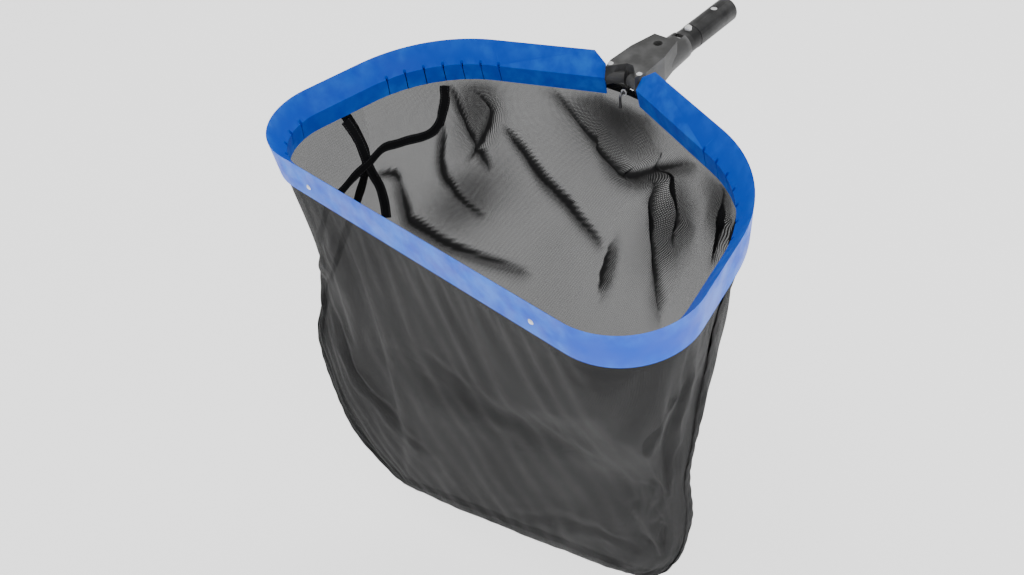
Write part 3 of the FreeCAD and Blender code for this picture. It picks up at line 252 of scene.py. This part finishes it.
def nearest_on_path(shares, depths, path, round_length):
    """Distance in metres from every grid place to a path, the side it lies on, and how far along."""
    best = np.full(shares.shape, 1e9)
    side = np.zeros(shares.shape)
    along = np.zeros(shares.shape)
    for index, (first, after) in enumerate(zip(path, path[1:])):
        (first_share, first_depth), (after_share, after_depth) = first, after
        step_share = (after_share - first_share + 0.5) % 1.0 - 0.5
        offset = ((shares - first_share + 0.5) % 1.0 - 0.5) * round_length
        drop = (depths - first_depth) * BAG_DEPTH
        run = np.array([step_share * round_length, (after_depth - first_depth) * BAG_DEPTH])
        place = np.clip((offset * run[0] + drop * run[1]) / (run @ run), 0, 1)
        distance = np.hypot(offset - run[0] * place, drop - run[1] * place)
        nearer = distance < best
        best = np.where(nearer, distance, best)
        side = np.where(nearer, np.sign(offset * run[1] - drop * run[0]), side)
        along = np.where(nearer, (index + place) / (len(path) - 1), along)
    return best, side, along


def smooth_path(path, count=24):
    """The path's corners rounded by a Catmull-Rom curve."""
    points = np.array([path[0], *path, path[-1]], float)
    for index in range(1, len(points)):
        points[index:, 0] += round(points[index - 1, 0] - points[index, 0])
    result = []
    steps = count // (len(points) - 3) + 1
    for index in range(1, len(points) - 2):
        before, first, after, beyond = points[index - 1:index + 3]
        for step in range(steps):
            t = step / steps
            result.append(
                0.5 * (2 * first + (after - before) * t
                + (2 * before - 5 * first + 4 * after - beyond) * t**2
                + (3 * first - before - 3 * after + beyond) * t**3)
            )
    result.append(points[-1])
    return [(point[0] % 1.0, point[1]) for point in result]


def creased(grid):
    """The grid with its creases raised, and how folded the cloth is at each place, from 0 to 1, with
    painted shade beside the inward creases mixed in.
    """
    shares, depths = np.meshgrid(np.arange(COLUMNS) / COLUMNS, np.arange(ROWS) / (ROWS - 1))
    round_length = np.linalg.norm(np.diff(grid[0], axis=0), axis=1).sum()
    normals = grid_normals(grid)
    rise = np.zeros(shares.shape)
    fold_and_shade = np.zeros(shares.shape)
    for path, height, width, side in CREASES:
        path = smooth_path(path)
        distance, hand, along = nearest_on_path(shares, depths, path, round_length)
        fade = np.sin(math.pi * (0.08 + 0.84 * along)) ** 0.8
        wander = 1 + 0.35 * np.sin(along * 17 + height) * np.sin(along * 7 + width)
        fold = distance / (width * MM * (CREASE_END_WIDTH + (1 - CREASE_END_WIDTH) * fade) * wander)
        rise += side * height * MM * fade * np.exp(-fold**2)
        rise -= side * height * TROUGH_DEPTH * MM * fade * np.exp(-((fold - TROUGH_PLACE) ** 2) * 1.5)
        if side > 0:
            darkness = min(1, height / DARKEST_FROM_HEIGHT) * fade
            line = np.exp(-((distance / (LINE_WIDTH * wander * (0.3 + 0.7 * fade))) ** 4))
            # Painted shade: a softer darkening that reaches further to one side of the crease, kept
            # with the fold amount.
            reach = width * SHADE_WIDTH * MM * np.where(hand > 0, 1.0, 0.35)
            shade = np.exp(-((distance / reach) ** 2))
            fold_and_shade = np.maximum(fold_and_shade, darkness * np.maximum(line, SHADE_STRENGTH * shade))
    for share, depth, wide, tall, dark in DOUBLED:
        offset = ((shares - share + 0.5) % 1.0 - 0.5) * round_length / wide
        patch = np.exp(-(offset**2 + ((depths - depth) * BAG_DEPTH / tall) ** 2))
        fold_and_shade = np.maximum(fold_and_shade, dark * patch)
    ripple = 0.6 * MM * np.sin(shares * 2 * math.pi * 23 + 3 * np.sin(depths * 7))
    ripple += 1.3 * MM * np.sin(shares * 2 * math.pi * 9 + depths * 21 + 1.0)
    ripple += 0.4 * MM * np.sin(shares * 2 * math.pi * 41 - depths * 33 + np.sin(shares * 31))
    rise += ripple
    free = np.clip((depths - HEM_SHARE) / 0.06, 0, 1) * np.clip((1 - depths) / 0.05, 0, 1)
    return grid + normals * (rise * free)[:, :, None], fold_and_shade * np.clip((depths - 0.03) / 0.03, 0, 1)


def ring_faces(columns, rows, around=True):
    """Four-sided faces between rows of points, closed round each row or left open."""
    faces = []
    for row in range(rows - 1):
        for column in range(columns if around else columns - 1):
            after = (column + 1) % columns
            faces.append(
                (row * columns + column, row * columns + after, (row + 1) * columns + after,
                 (row + 1) * columns + column)
            )
    return faces


def add_cloth_coordinates(thing, count, place):
    """Gives every corner its place (across, along) on the flat cloth."""
    layer = thing.data.uv_layers.new(name="cloth")
    for loop in thing.data.loops:
        layer.data[loop.index].uv = place(*divmod(loop.vertex_index, count))


def mesh_object(name, points, faces):
    mesh = bpy.data.meshes.new(name)
    mesh.from_pydata([tuple(point) for point in points], [], faces)
    mesh.update()
    mesh.shade_smooth()
    thing = bpy.data.objects.new(name, mesh)
    bpy.context.scene.collection.objects.link(thing)
    return thing


def draped(grid):
    """Lets the slack cloth settle under its own weight, hung from the hem, on every second thread."""
    coarse = grid[::DRAPE_STEP, ::DRAPE_STEP]
    rows, columns = coarse.shape[:2]
    thing = mesh_object("drape", coarse.reshape(-1, 3), ring_faces(columns, rows))
    pins = thing.vertex_groups.new(name="held")
    for row in range(rows):
        depth = row / (rows - 1)
        hold = 1.0 if depth < HEM_SHARE + 0.02 or row > rows - 3 else 0.0
        pins.add(list(range(row * columns, (row + 1) * columns)), hold, "REPLACE")
    cloth = thing.modifiers.new("drape", "CLOTH")
    settings = cloth.settings
    settings.quality = 5
    settings.mass = 0.12
    settings.tension_stiffness = 12
    settings.compression_stiffness = 10
    settings.shear_stiffness = 6
    settings.bending_stiffness = 4
    settings.vertex_group_mass = "held"
    settings.shrink_min = -0.01
    cloth.collision_settings.use_collision = False
    cloth.collision_settings.use_self_collision = False
    cloth.point_cache.frame_start = 1
    cloth.point_cache.frame_end = DRAPE_FRAMES
    scene = bpy.context.scene
    for step in range(1, DRAPE_FRAMES + 1):
        scene.frame_set(step)
    settled = thing.evaluated_get(bpy.context.evaluated_depsgraph_get()).to_mesh()
    points = np.array([vertex.co for vertex in settled.vertices]).reshape(coarse.shape)
    bpy.data.objects.remove(thing)
    scene.frame_set(1)
    move = points - coarse
    length = np.linalg.norm(move, axis=2)[:, :, None]
    move *= np.minimum(1, DRAPE_LIMIT / np.maximum(length, 1e-9))
    fine = np.zeros(grid.shape)
    fine[::DRAPE_STEP, ::DRAPE_STEP] = move
    fine[1::DRAPE_STEP, ::DRAPE_STEP] = (move[:-1] + move[1:]) / 2
    even = fine[:, ::DRAPE_STEP]
    fine[:, 1::DRAPE_STEP] = (even + np.roll(even, -1, axis=1)) / 2
    return grid + fine


flat_grid = bag_grid()
bag, fold_and_shade_shares = creased(flat_grid)
bag = draped(bag)
bag_normals = grid_normals(bag)
bag_points = [Vector(point) for point in bag.reshape(-1, 3)]
bag_tree = BVHTree.FromPolygons(bag_points, ring_faces(COLUMNS, ROWS))


def bag_spot(share, depth):
    """Place on the settled cloth and the normal into the bag there."""
    column = share % 1.0 * COLUMNS
    row = min(max(depth, 0.0), 1.0) * (ROWS - 1)
    low_column, low_row = int(column), min(int(row), ROWS - 2)
    column -= low_column
    row -= low_row
    after = (low_column + 1) % COLUMNS
    low_column %= COLUMNS

    def mixed(values):
        top = values[low_row, low_column] * (1 - column) + values[low_row, after] * column
        low = values[low_row + 1, low_column] * (1 - column) + values[low_row + 1, after] * column
        return top * (1 - row) + low * row

    normal = Vector(mixed(bag_normals))
    normal.normalize()
    return Vector(mixed(bag)), normal


# ---------------------------------------------------------------- finishes

class Finish:
    """A node material built up step by step."""

    def __init__(self, name, rough, metal=0.0):
        self.material = bpy.data.materials.new(name)
        self.material.use_nodes = True
        self.nodes = self.material.node_tree.nodes
        self.links = self.material.node_tree.links
        self.shader = self.nodes["Principled BSDF"]
        self.shader.inputs["Roughness"].default_value = rough
        self.shader.inputs["Metallic"].default_value = metal

    def node(self, kind, **values):
        made = self.nodes.new(kind)
        for key, value in values.items():
            setattr(made, key, value)
        return made

    def link(self, source, target):
        self.links.new(source, target)

    def place(self, stretch=(1, 1, 1), kind="Object"):
        coordinates = self.node("ShaderNodeTexCoord")
        mapping = self.node("ShaderNodeMapping")
        mapping.inputs["Scale"].default_value = stretch
        self.link(coordinates.outputs[kind], mapping.inputs["Vector"])
        return mapping.outputs["Vector"]

    def noise(self, scale, detail=4.0, stretch=(1, 1, 1), kind="Object"):
        noise = self.node("ShaderNodeTexNoise")
        noise.inputs["Scale"].default_value = scale
        noise.inputs["Detail"].default_value = detail
        self.link(self.place(stretch, kind), noise.inputs["Vector"])
        return noise.outputs["Fac"]

    def ramp(self, source, *stops):
        """stops are (place, colour) or (place, grey)."""
        ramp = self.node("ShaderNodeValToRGB")
        while len(ramp.color_ramp.elements) < len(stops):
            ramp.color_ramp.elements.new(0.5)
        for element, (position, colour) in zip(ramp.color_ramp.elements, stops):
            element.position = position
            element.color = (*colour, 1) if isinstance(colour, tuple) else (colour, colour, colour, 1)
        self.link(source, ramp.inputs["Fac"])
        return ramp.outputs["Color"]

    def math(self, operation, first, second=0.0, third=0.0):
        made = self.node("ShaderNodeMath", operation=operation)
        for index, value in enumerate((first, second, third)):
            if isinstance(value, (int, float)):
                made.inputs[index].default_value = value
            else:
                self.link(value, made.inputs[index])
        return made.outputs[0]

    def mix(self, share, first, second):
        made = self.node("ShaderNodeMix", data_type="RGBA")
        for name, value in (("Factor", share), ("A", first), ("B", second)):
            sockets = [s for s in made.inputs if s.name == name and s.enabled]
            if isinstance(value, tuple):
                sockets[0].default_value = (*value, 1)
            elif isinstance(value, (int, float)):
                sockets[0].default_value = value
            else:
                self.link(value, sockets[0])
        return [s for s in made.outputs if s.enabled][0]

    def colour(self, source):
        self.link(source, self.shader.inputs["Base Color"])

    def roughness(self, source):
        self.link(source, self.shader.inputs["Roughness"])

    def bump(self, source, depth, strength=1.0):
        bump = self.node("ShaderNodeBump")
        bump.inputs["Distance"].default_value = depth
        bump.inputs["Strength"].default_value = strength
        self.link(source, bump.inputs["Height"])
        self.link(bump.outputs["Normal"], self.shader.inputs["Normal"])


def moulded(name, dark, light, rough, edge_wear_and_highlight=None, streak=(1, 1, 1)):
    """Moulded plastic: clouded colour, a fine moulded grain, scuffs, and paler edges that are partly
    wear and partly a painted edge highlight.
    """
    finish = Finish(name, rough)
    finish.shader.inputs["Specular IOR Level"].default_value = 0.25
    colour = finish.ramp(finish.noise(9, 5, streak), (0.3, dark), (0.75, light))
    if edge_wear_and_highlight:
        # Paler colour on sharp edges in noisy patches: partly edge wear, partly a painted highlight
        # along the edges.
        geometry = finish.node("ShaderNodeNewGeometry")
        worn_and_highlit_edges = finish.ramp(geometry.outputs["Pointiness"], (0.53, 0.0), (0.6, 1.0))
        patches = finish.ramp(finish.noise(60, 6), (0.35, 0.0), (0.7, 0.8))
        colour = finish.mix(finish.math("MULTIPLY", worn_and_highlit_edges, patches), colour, edge_wear_and_highlight)
    finish.colour(colour)
    smooth_rough, worn_rough = rough * 0.85, min(1.0, rough * 1.35)
    scuffs = finish.ramp(finish.noise(38, 8, streak), (0.42, smooth_rough), (0.66, worn_rough))
    finish.roughness(scuffs)
    grain = finish.noise(1400, 3)
    finish.bump(finish.math("MULTIPLY_ADD", finish.noise(90, 4), 0.6, grain), 0.00006)
    return finish.material


def brushed(name, tint, rough, metal=1.0):
    """Bright metal with fine turning marks."""
    finish = Finish(name, rough, metal)
    marks = finish.noise(260, 5, (1, 1, 14))
    dark = tuple(channel * 0.8 for channel in tint)
    finish.colour(finish.ramp(marks, (0.3, dark), (0.7, tint)))
    finish.roughness(finish.ramp(marks, (0.3, rough * 0.7), (0.7, rough * 1.4)))
    finish.bump(marks, 0.00003)
    return finish.material


def woven_mesh(name):
    """Fine open mesh: threads both ways with small holes, denser and darker where the cloth folds over
    and where shade is painted beside the creases.
    """
    finish = Finish(name, 0.62)
    finish.shader.inputs["Specular IOR Level"].default_value = 0.1
    place = finish.place(kind="UV")
    parts = finish.node("ShaderNodeSeparateXYZ")
    finish.link(place, parts.inputs[0])
    pitch = 1.35 * MM
    threads = []
    for axis in (0, 1):
        turns = finish.math("MULTIPLY", parts.outputs[axis], 2 * math.pi / pitch)
        wave = finish.math("SINE", turns)
        threads.append(finish.math("MULTIPLY_ADD", wave, 0.5, 0.5))
    thread = finish.math("MAXIMUM", threads[0], threads[1])
    solid = finish.ramp(thread, (0.38, 0.78), (0.62, 0.93))
    fold_and_shade = finish.node("ShaderNodeAttribute", attribute_name="fold_and_shade").outputs["Fac"]
    dust = finish.noise(7, 6, kind="UV")
    alpha = finish.math("MULTIPLY_ADD", fold_and_shade, 0.35, solid)
    alpha = finish.math("MULTIPLY_ADD", finish.math("SUBTRACT", dust, 0.5), 0.05, alpha)
    finish.link(finish.math("MINIMUM", alpha, 0.995), finish.shader.inputs["Alpha"])
    tone = finish.ramp(dust, (0.3, (0.004, 0.004, 0.0042)), (0.7, (0.011, 0.011, 0.0115)))
    # The colour darkens with the fold attribute: partly doubled cloth, partly painted shade beside the
    # creases.
    finish.colour(finish.mix(fold_and_shade, tone, (0.003, 0.003, 0.0032)))
    finish.roughness(finish.ramp(dust, (0.3, 0.5), (0.7, 0.72)))
    finish.bump(thread, 0.0002, 0.4)
    return finish.material


def webbing(name, dark, light, ribs=1.1 * MM, stitched=True):
    """Ribbed woven tape with a sewn line of thread near each edge."""
    finish = Finish(name, 0.7)
    finish.shader.inputs["Specular IOR Level"].default_value = 0.15
    place = finish.place(kind="UV")
    parts = finish.node("ShaderNodeSeparateXYZ")
    finish.link(place, parts.inputs[0])
    across, along = parts.outputs[0], parts.outputs[1]
    rib = finish.math("SINE", finish.math("MULTIPLY", along, 2 * math.pi / ribs))
    cross = finish.math("SINE", finish.math("MULTIPLY", across, 60.0))
    weave = finish.math("MULTIPLY_ADD", rib, 0.3, finish.math("MULTIPLY_ADD", cross, 0.2, 0.5))
    colour = finish.ramp(finish.noise(30, 5, kind="UV"), (0.3, dark), (0.7, light))
    height = weave
    if stitched:
        from_middle = finish.math("ABSOLUTE", finish.math("SUBTRACT", across, 0.5))
        from_row = finish.math("ABSOLUTE", finish.math("SUBTRACT", from_middle, 0.34))
        row = finish.math("LESS_THAN", from_row, 0.035)
        stitches = finish.math("MULTIPLY", along, 2 * math.pi / (3.2 * MM))
        dash = finish.math("GREATER_THAN", finish.math("SINE", stitches), -0.2)
        stitch = finish.math("MULTIPLY", row, dash)
        colour = finish.mix(stitch, colour, (0.06, 0.06, 0.062))
        height = finish.math("MULTIPLY_ADD", stitch, 0.8, weave)
    finish.colour(colour)
    finish.roughness(finish.ramp(weave, (0.2, 0.6), (0.8, 0.82)))
    finish.bump(height, 0.0003, 0.8)
    return finish.material


def floor_finish():
    finish = Finish("floor_pale", 0.75)
    finish.colour(finish.ramp(finish.noise(3, 3), (0.3, 0.93), (0.7, 0.96)))
    finish.shader.inputs["Emission Color"].default_value = (1, 1, 1, 1)
    finish.shader.inputs["Emission Strength"].default_value = 1.25
    return finish.material


# The last colour given to each moulded finish paints its paler edges: partly wear, partly a painted
# edge highlight.
BLUE = moulded("guard_blue", (0.0, 0.076, 0.66), (0.0, 0.082, 0.69), 0.45, (0.01, 0.2, 0.9))
SHANK_BLACK = moulded("shank_black", (0.006, 0.006, 0.0065), (0.016, 0.016, 0.0165), 0.42,
                      (0.09, 0.09, 0.09), (1, 0.15, 1))
YOKE_GREY = moulded("yoke_grey", (0.045, 0.045, 0.045), (0.075, 0.075, 0.074), 0.48,
                    (0.2, 0.2, 0.2), (1, 0.3, 1))
CLIP_GREY = moulded("clip_grey", (0.22, 0.22, 0.22), (0.34, 0.34, 0.33), 0.45)
PIN_WHITE = moulded("pin_white", (0.78, 0.78, 0.77), (0.88, 0.88, 0.88), 0.35)
RIVET_STEEL = brushed("rivet_bright", (0.95, 0.95, 0.95), 0.5, 0.25)
HOOP_METAL = brushed("hoop_satin", (0.6, 0.61, 0.63), 0.35)
HOOK_METAL = brushed("hook_dark", (0.22, 0.22, 0.23), 0.35)
MESH_CLOTH = woven_mesh("bag_mesh")
BLACK_TAPE = webbing("tape_black", (0.006, 0.006, 0.0065), (0.012, 0.012, 0.0125))
HEM_CLOTH = webbing("hem_black", (0.008, 0.008, 0.0085), (0.014, 0.014, 0.0145), 0.9 * MM, False)

NODE_FINISHES = {
    "edge_guard": BLUE,
    "frame_hoop": HOOP_METAL,
    "guard_rivets": RIVET_STEEL,
    "hoop_rivets": RIVET_STEEL,
    "yoke_bolt": RIVET_STEEL,
    "yoke_nut": RIVET_STEEL,
    "clip_rivet": RIVET_STEEL,
    "hem_eyelet": RIVET_STEEL,
    "bag_hook": HOOK_METAL,
    "pole_shank": SHANK_BLACK,
    "yoke_body": YOKE_GREY,
    "clip_bridge": CLIP_GREY,
    "upper_clip_arm": CLIP_GREY,
    "lower_clip_arm": CLIP_GREY,
    "upper_lock_pin": PIN_WHITE,
    "lower_lock_pin": PIN_WHITE,
    "upper_finger_pad": PIN_WHITE,
    "lower_finger_pad": PIN_WHITE,
}
for node_name, finish_used in NODE_FINISHES.items():
    node_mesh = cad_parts[node_name].data
    node_mesh.materials.clear()
    node_mesh.materials.append(finish_used)


# ---------------------------------------------------------------- bag panels

def cloth_panel(name, columns, node):
    """One sewn panel of the bag: the columns between its seams, with cloth coordinates in metres."""
    points = bag[:, columns]
    rows, count = points.shape[:2]
    panel = mesh_object(name, points.reshape(-1, 3), ring_faces(count, rows, around=False))
    width = np.linalg.norm(np.diff(flat_grid[:, columns], axis=1), axis=2)
    across = np.concatenate([np.zeros((rows, 1)), np.cumsum(width, axis=1)], axis=1)
    across -= across[:, -1:] / 2
    drops = np.linalg.norm(np.diff(flat_grid[:, columns], axis=0), axis=2).mean(axis=1)
    down = np.concatenate([[0], np.cumsum(drops)])
    add_cloth_coordinates(panel, count, lambda row, column: (across[row, column], down[row]))
    fold_and_shade = panel.data.attributes.new("fold_and_shade", "FLOAT", "POINT")
    fold_and_shade.data.foreach_set("value", fold_and_shade_shares[:, columns].reshape(-1).astype(np.float32))
    panel.data.materials.append(MESH_CLOTH)
    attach(panel, NET)
    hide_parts(node)
    cut_area = float((width[:-1].sum(axis=1) * drops).sum())
    return panel, (float(width.sum(axis=1).max()), float(down[-1])), cut_area


right_seam = SEAM_COLUMN
left_seam = COLUMNS - SEAM_COLUMN
front_columns = [column % COLUMNS for column in range(left_seam, COLUMNS + right_seam + 1)]
back_columns = list(range(right_seam, left_seam + 1))
front_cloth, front_flat, front_area = cloth_panel(
    "bag_front_cloth", front_columns, "bag_front_panel"
)
back_cloth, back_flat, back_area = cloth_panel("bag_back_cloth", back_columns, "bag_back_panel")


# ---------------------------------------------------------------- tapes on the cloth

def strip_mesh(name, sections, out, width, thickness, material, pucker=0.0):
    """A flat tape with rounded edges; each section gives a spot and a normal at a distance across."""
    samples = 9
    places = np.linspace(-1, 1, samples)
    points = []
    for index, place_across in enumerate(sections):
        outline = []
        for face in (1, -1):
            for place in places[:: face]:
                round_off = math.sqrt(max(0.0, 1 - abs(place) ** 6))
                lift = face * thickness / 2 * round_off
                wave = pucker * math.sin(index * 1.3 + place * 1.5) * (0.4 + 0.6 * abs(place))
                spot, normal = place_across(place * width / 2)
                outline.append(spot + normal * out * (lift + wave))
        points.append(outline)
    size = len(points[0])
    faces = ring_faces(size, len(points))
    faces.append(tuple(range(size))[::-1])
    faces.append(tuple(range((len(points) - 1) * size, len(points) * size)))
    strip = mesh_object(name, [point for outline in points for point in outline], faces)
    along = 0.0
    alongs = [0.0]
    middle = samples // 2
    for first, after in zip(points, points[1:]):
        along += (after[middle] - first[middle]).length
        alongs.append(along)
    shares = list((places + 1) / 2) + list((places[::-1] + 1) / 2)
    add_cloth_coordinates(strip, size, lambda row, corner: (shares[corner], alongs[row]))
    strip.data.materials.append(material)
    return strip


def tape_on_bag(name, path, width, thickness, gap, side, material, node, pucker=0.0):
    """A tape laid on the settled cloth along (share, depth) places; side 1 is inside the bag."""
    dense = smooth_path(path, 96)
    spots = [bag_spot(*place) for place in dense]
    sections = []
    for index, (spot, inward) in enumerate(spots):
        before = spots[max(index - 1, 0)][0]
        after = spots[min(index + 1, len(spots) - 1)][0]
        along = (after - before).normalized()
        across = along.cross(inward).normalized()

        def section(distance, spot=spot, across=across, inward=inward):
            target, normal, _, _ = bag_tree.find_nearest(spot + across * distance)
            if normal.dot(inward) < 0:
                normal = -normal
            normal = (normal + inward * 1.5).normalized()
            return target + normal * side * (gap + thickness / 2), normal

        sections.append(section)
    strip = strip_mesh(name, sections, side, width, thickness, material, pucker)
    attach(strip, NET)
    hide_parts(node)
    return strip


TAPE_WIDTH = 12 * MM
TAPE_THICKNESS = 0.9 * MM
BINDING_WIDTH = 12 * MM
BINDING_THICKNESS = 2.2 * MM
FOLD_HEIGHT = 13 * MM
FOLD_THICKNESS = 4.5 * MM
FOLD_RISE = 6.2 * MM
FOLD_STATIONS = 120
SEAM_START = 0.03
SEAM_STEPS = 14
INNER_TAPES = {
    "cross_tape": [(0.661, 0.045), (0.664, 0.105), (0.672, 0.148), (0.7, 0.15), (0.722, 0.145),
                   (0.74, 0.165), (0.763, 0.19), (0.79, 0.215), (0.811, 0.27), (0.811, 0.34)],
    "long_tape": [(0.753, 0.045), (0.735, 0.165), (0.706, 0.25), (0.683, 0.315)],
}
for kind, tape_path in INNER_TAPES.items():
    for tape_side in ("left", "right"):
        laid = [(place if tape_side == "left" else 1 - place, depth) for place, depth in tape_path]
        tape_node = f"{tape_side}_{kind}"
        tape_gap = (1.9 if kind == "cross_tape" else 0.5) * MM
        strip = tape_on_bag(
            f"{tape_node}_strip", laid, TAPE_WIDTH, TAPE_THICKNESS, tape_gap, 1, BLACK_TAPE,
            tape_node,
        )

seam_steps = [
    (step / SEAM_STEPS, SEAM_START + (1 - SEAM_START) * step / SEAM_STEPS)
    for step in range(SEAM_STEPS + 1)
]
# The left binding's top leans towards the long tape.
seam_paths = {
    "right": [(SEAM_SHARE, depth) for _, depth in seam_steps],
    "left": [(1 - SEAM_SHARE + max(0.0, 0.15 - step) / 9, depth) for step, depth in seam_steps],
}
for seam_side, seam_path in seam_paths.items():
    tape_on_bag(
            f"{seam_side}_seam_binding", seam_path, BINDING_WIDTH, BINDING_THICKNESS, 0.4 * MM, -1,
            BLACK_TAPE, "seam_binding", 0.5 * MM,
        )


def bottom_binding():
    """The tape folded over the bag's bottom edge, from one seam to the other."""
    columns = np.linspace(left_seam, COLUMNS + right_seam, FOLD_STATIONS)
    sections = []
    for index, column in enumerate(columns):
        spot, _ = bag_spot(column / COLUMNS, 1.0)
        before, _ = bag_spot((column - 2) / COLUMNS, 1.0)
        after, _ = bag_spot((column + 2) / COLUMNS, 1.0)
        along = (after - before).normalized()
        facing = along.cross(Vector((0, 0, 1))).normalized()

        def section(distance, spot=spot, facing=facing, index=index):
            sway = 0.5 * MM * math.sin(index * 0.8)
            return spot + Vector((0, 0, FOLD_RISE + distance)) + facing * sway, facing

        sections.append(section)
    strip = strip_mesh(
        "bottom_binding_fold", sections, 1, FOLD_HEIGHT, FOLD_THICKNESS, BLACK_TAPE, 0.3 * MM
    )
    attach(strip, NET)
    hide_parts("seam_binding")
    return strip


bottom_binding()


# ---------------------------------------------------------------- hem

HEM_STATIONS = 700
HEM_TAIL = 14.5 * MM
ROLL_STEPS = 14
BAND_STEPS = 40
BAND_THICKNESS = 1.3 * MM


def hem_roll():
    """The hem: cloth rolled round the hoop, with its sewn tail hanging down against the panel."""
    ring = rim_ring(HOOP_INSET, HEM_STATIONS)
    keep = [spot for spot in ring if abs(spot[0]) > GUARD_END or spot[1] < FRONT_Y / 2]
    middle = next(i for i, spot in enumerate(keep) if spot[0] < 0 and spot[1] > FRONT_Y / 2)
    line = keep[middle:] + keep[:middle]
    radius = HOOP_RADIUS + 0.35 * MM
    section = []
    for step in range(ROLL_STEPS + 1):
        angle = math.radians(-115 + 320 * step / ROLL_STEPS)
        section.append((radius * math.cos(angle), radius * math.sin(angle)))
    tail_low = -HOOP_Z - HEM_TAIL
    outer = [(-0.2 * MM, -radius - 1 * MM), (-1.1 * MM, -radius - 4 * MM), (-1.3 * MM, tail_low)]
    inner = [(0.1 * MM, tail_low), (0.2 * MM, -radius - 3 * MM)]
    section = section + outer + inner
    points = []
    for index, spot in enumerate(line):
        before, after = line[max(index - 1, 0)], line[min(index + 1, len(line) - 1)]
        along = (after - before) / np.linalg.norm(after - before)
        inward = np.array([-along[1], along[0]])
        wave = 0.35 * MM * math.sin(index * 0.7)
        for side, height in section:
            flat = spot + inward * (side + wave * (height < -radius - 2 * MM))
            points.append((flat[0], flat[1], HOOP_Z + height))
    count = len(section)
    roll = mesh_object("hem_roll", points, ring_faces(count, len(line)))
    add_cloth_coordinates(roll, count, lambda row, corner: (corner / count, row * 2 * MM))
    roll.data.materials.append(HEM_CLOTH)
    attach(roll, NET)
    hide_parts("hem_sleeve")
    return roll


def handle_band():
    """The hem's straight stretch across the gap at the handle, folded and sewn along both edges."""
    centre_y = (band_low.y + band_high.y) / 2
    middle = Vector((0, centre_y, (band_low.z + band_high.z) / 2))
    sections = []
    for index in range(BAND_STEPS + 1):
        x = band_low.x + (band_high.x - band_low.x) * index / BAND_STEPS

        def section(distance, x=x):
            sag = 0.6 * MM * math.cos(x / GUARD_END * math.pi)
            return Vector((x, middle.y + 0.1 * MM, middle.z + distance + sag)), Vector((0, 1, 0))

        sections.append(section)
    height = band_high.z - band_low.z
    strip = strip_mesh("handle_hem_strip", sections, 1, height, BAND_THICKNESS, BLACK_TAPE)
    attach(strip, NET)
    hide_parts("handle_hem_band")
    return strip


hem_roll()
handle_band()


# ---------------------------------------------------------------- floor, light and camera

FLOOR_REACH = 30
FLOOR_Z = -0.62


def add_floor():
    corners = [(-1, -1), (1, -1), (1, 1), (-1, 1)]
    points = [(x * FLOOR_REACH, y * FLOOR_REACH, FLOOR_Z) for x, y in corners]
    floor = mesh_object("floor", points, [(0, 1, 2, 3)])
    floor.data.materials.append(floor_finish())


def add_light(name, place, target, energy, size):
    data = bpy.data.lights.new(name, "AREA")
    data.energy = energy
    data.size = size
    lamp = bpy.data.objects.new(name, data)
    lamp.location = place
    lamp.rotation_euler = (Vector(target) - Vector(place)).to_track_quat("-Z", "Y").to_euler()
    bpy.context.scene.collection.objects.link(lamp)


def add_world():
    world = bpy.data.worlds.new("studio")
    world.use_nodes = True
    world.node_tree.nodes["Background"].inputs["Color"].default_value = (1, 1, 1, 1)
    world.node_tree.nodes["Background"].inputs["Strength"].default_value = 0.75
    bpy.context.scene.world = world


def add_camera():
    """Stands in front and to the right, looks down into the scoop, and leans a little."""
    data = bpy.data.cameras.new("camera")
    data.lens = 32.45
    data.sensor_width = 36
    camera = bpy.data.objects.new("camera", data)
    place = Vector((0.5367, -0.8065, 0.5647))
    target = Vector((0.1115, -0.4562, 0.01))
    looking = (target - place).to_track_quat("-Z", "Y").to_matrix()
    lean = Matrix.Rotation(math.radians(-10.31), 3, "Z")
    camera.matrix_world = Matrix.Translation(place) @ (looking @ lean).to_4x4()
    bpy.context.scene.collection.objects.link(camera)
    bpy.context.scene.camera = camera


add_floor()
add_world()
centre = (0, -0.35, -0.1)
add_light("key", (-0.9, -0.4, 2.0), centre, 9, 1.2)
add_light("fill", (1.5, -0.6, 0.9), centre, 6, 1.5)
add_light("back", (0.2, 1.3, 1.2), centre, 6, 1.2)
add_camera()
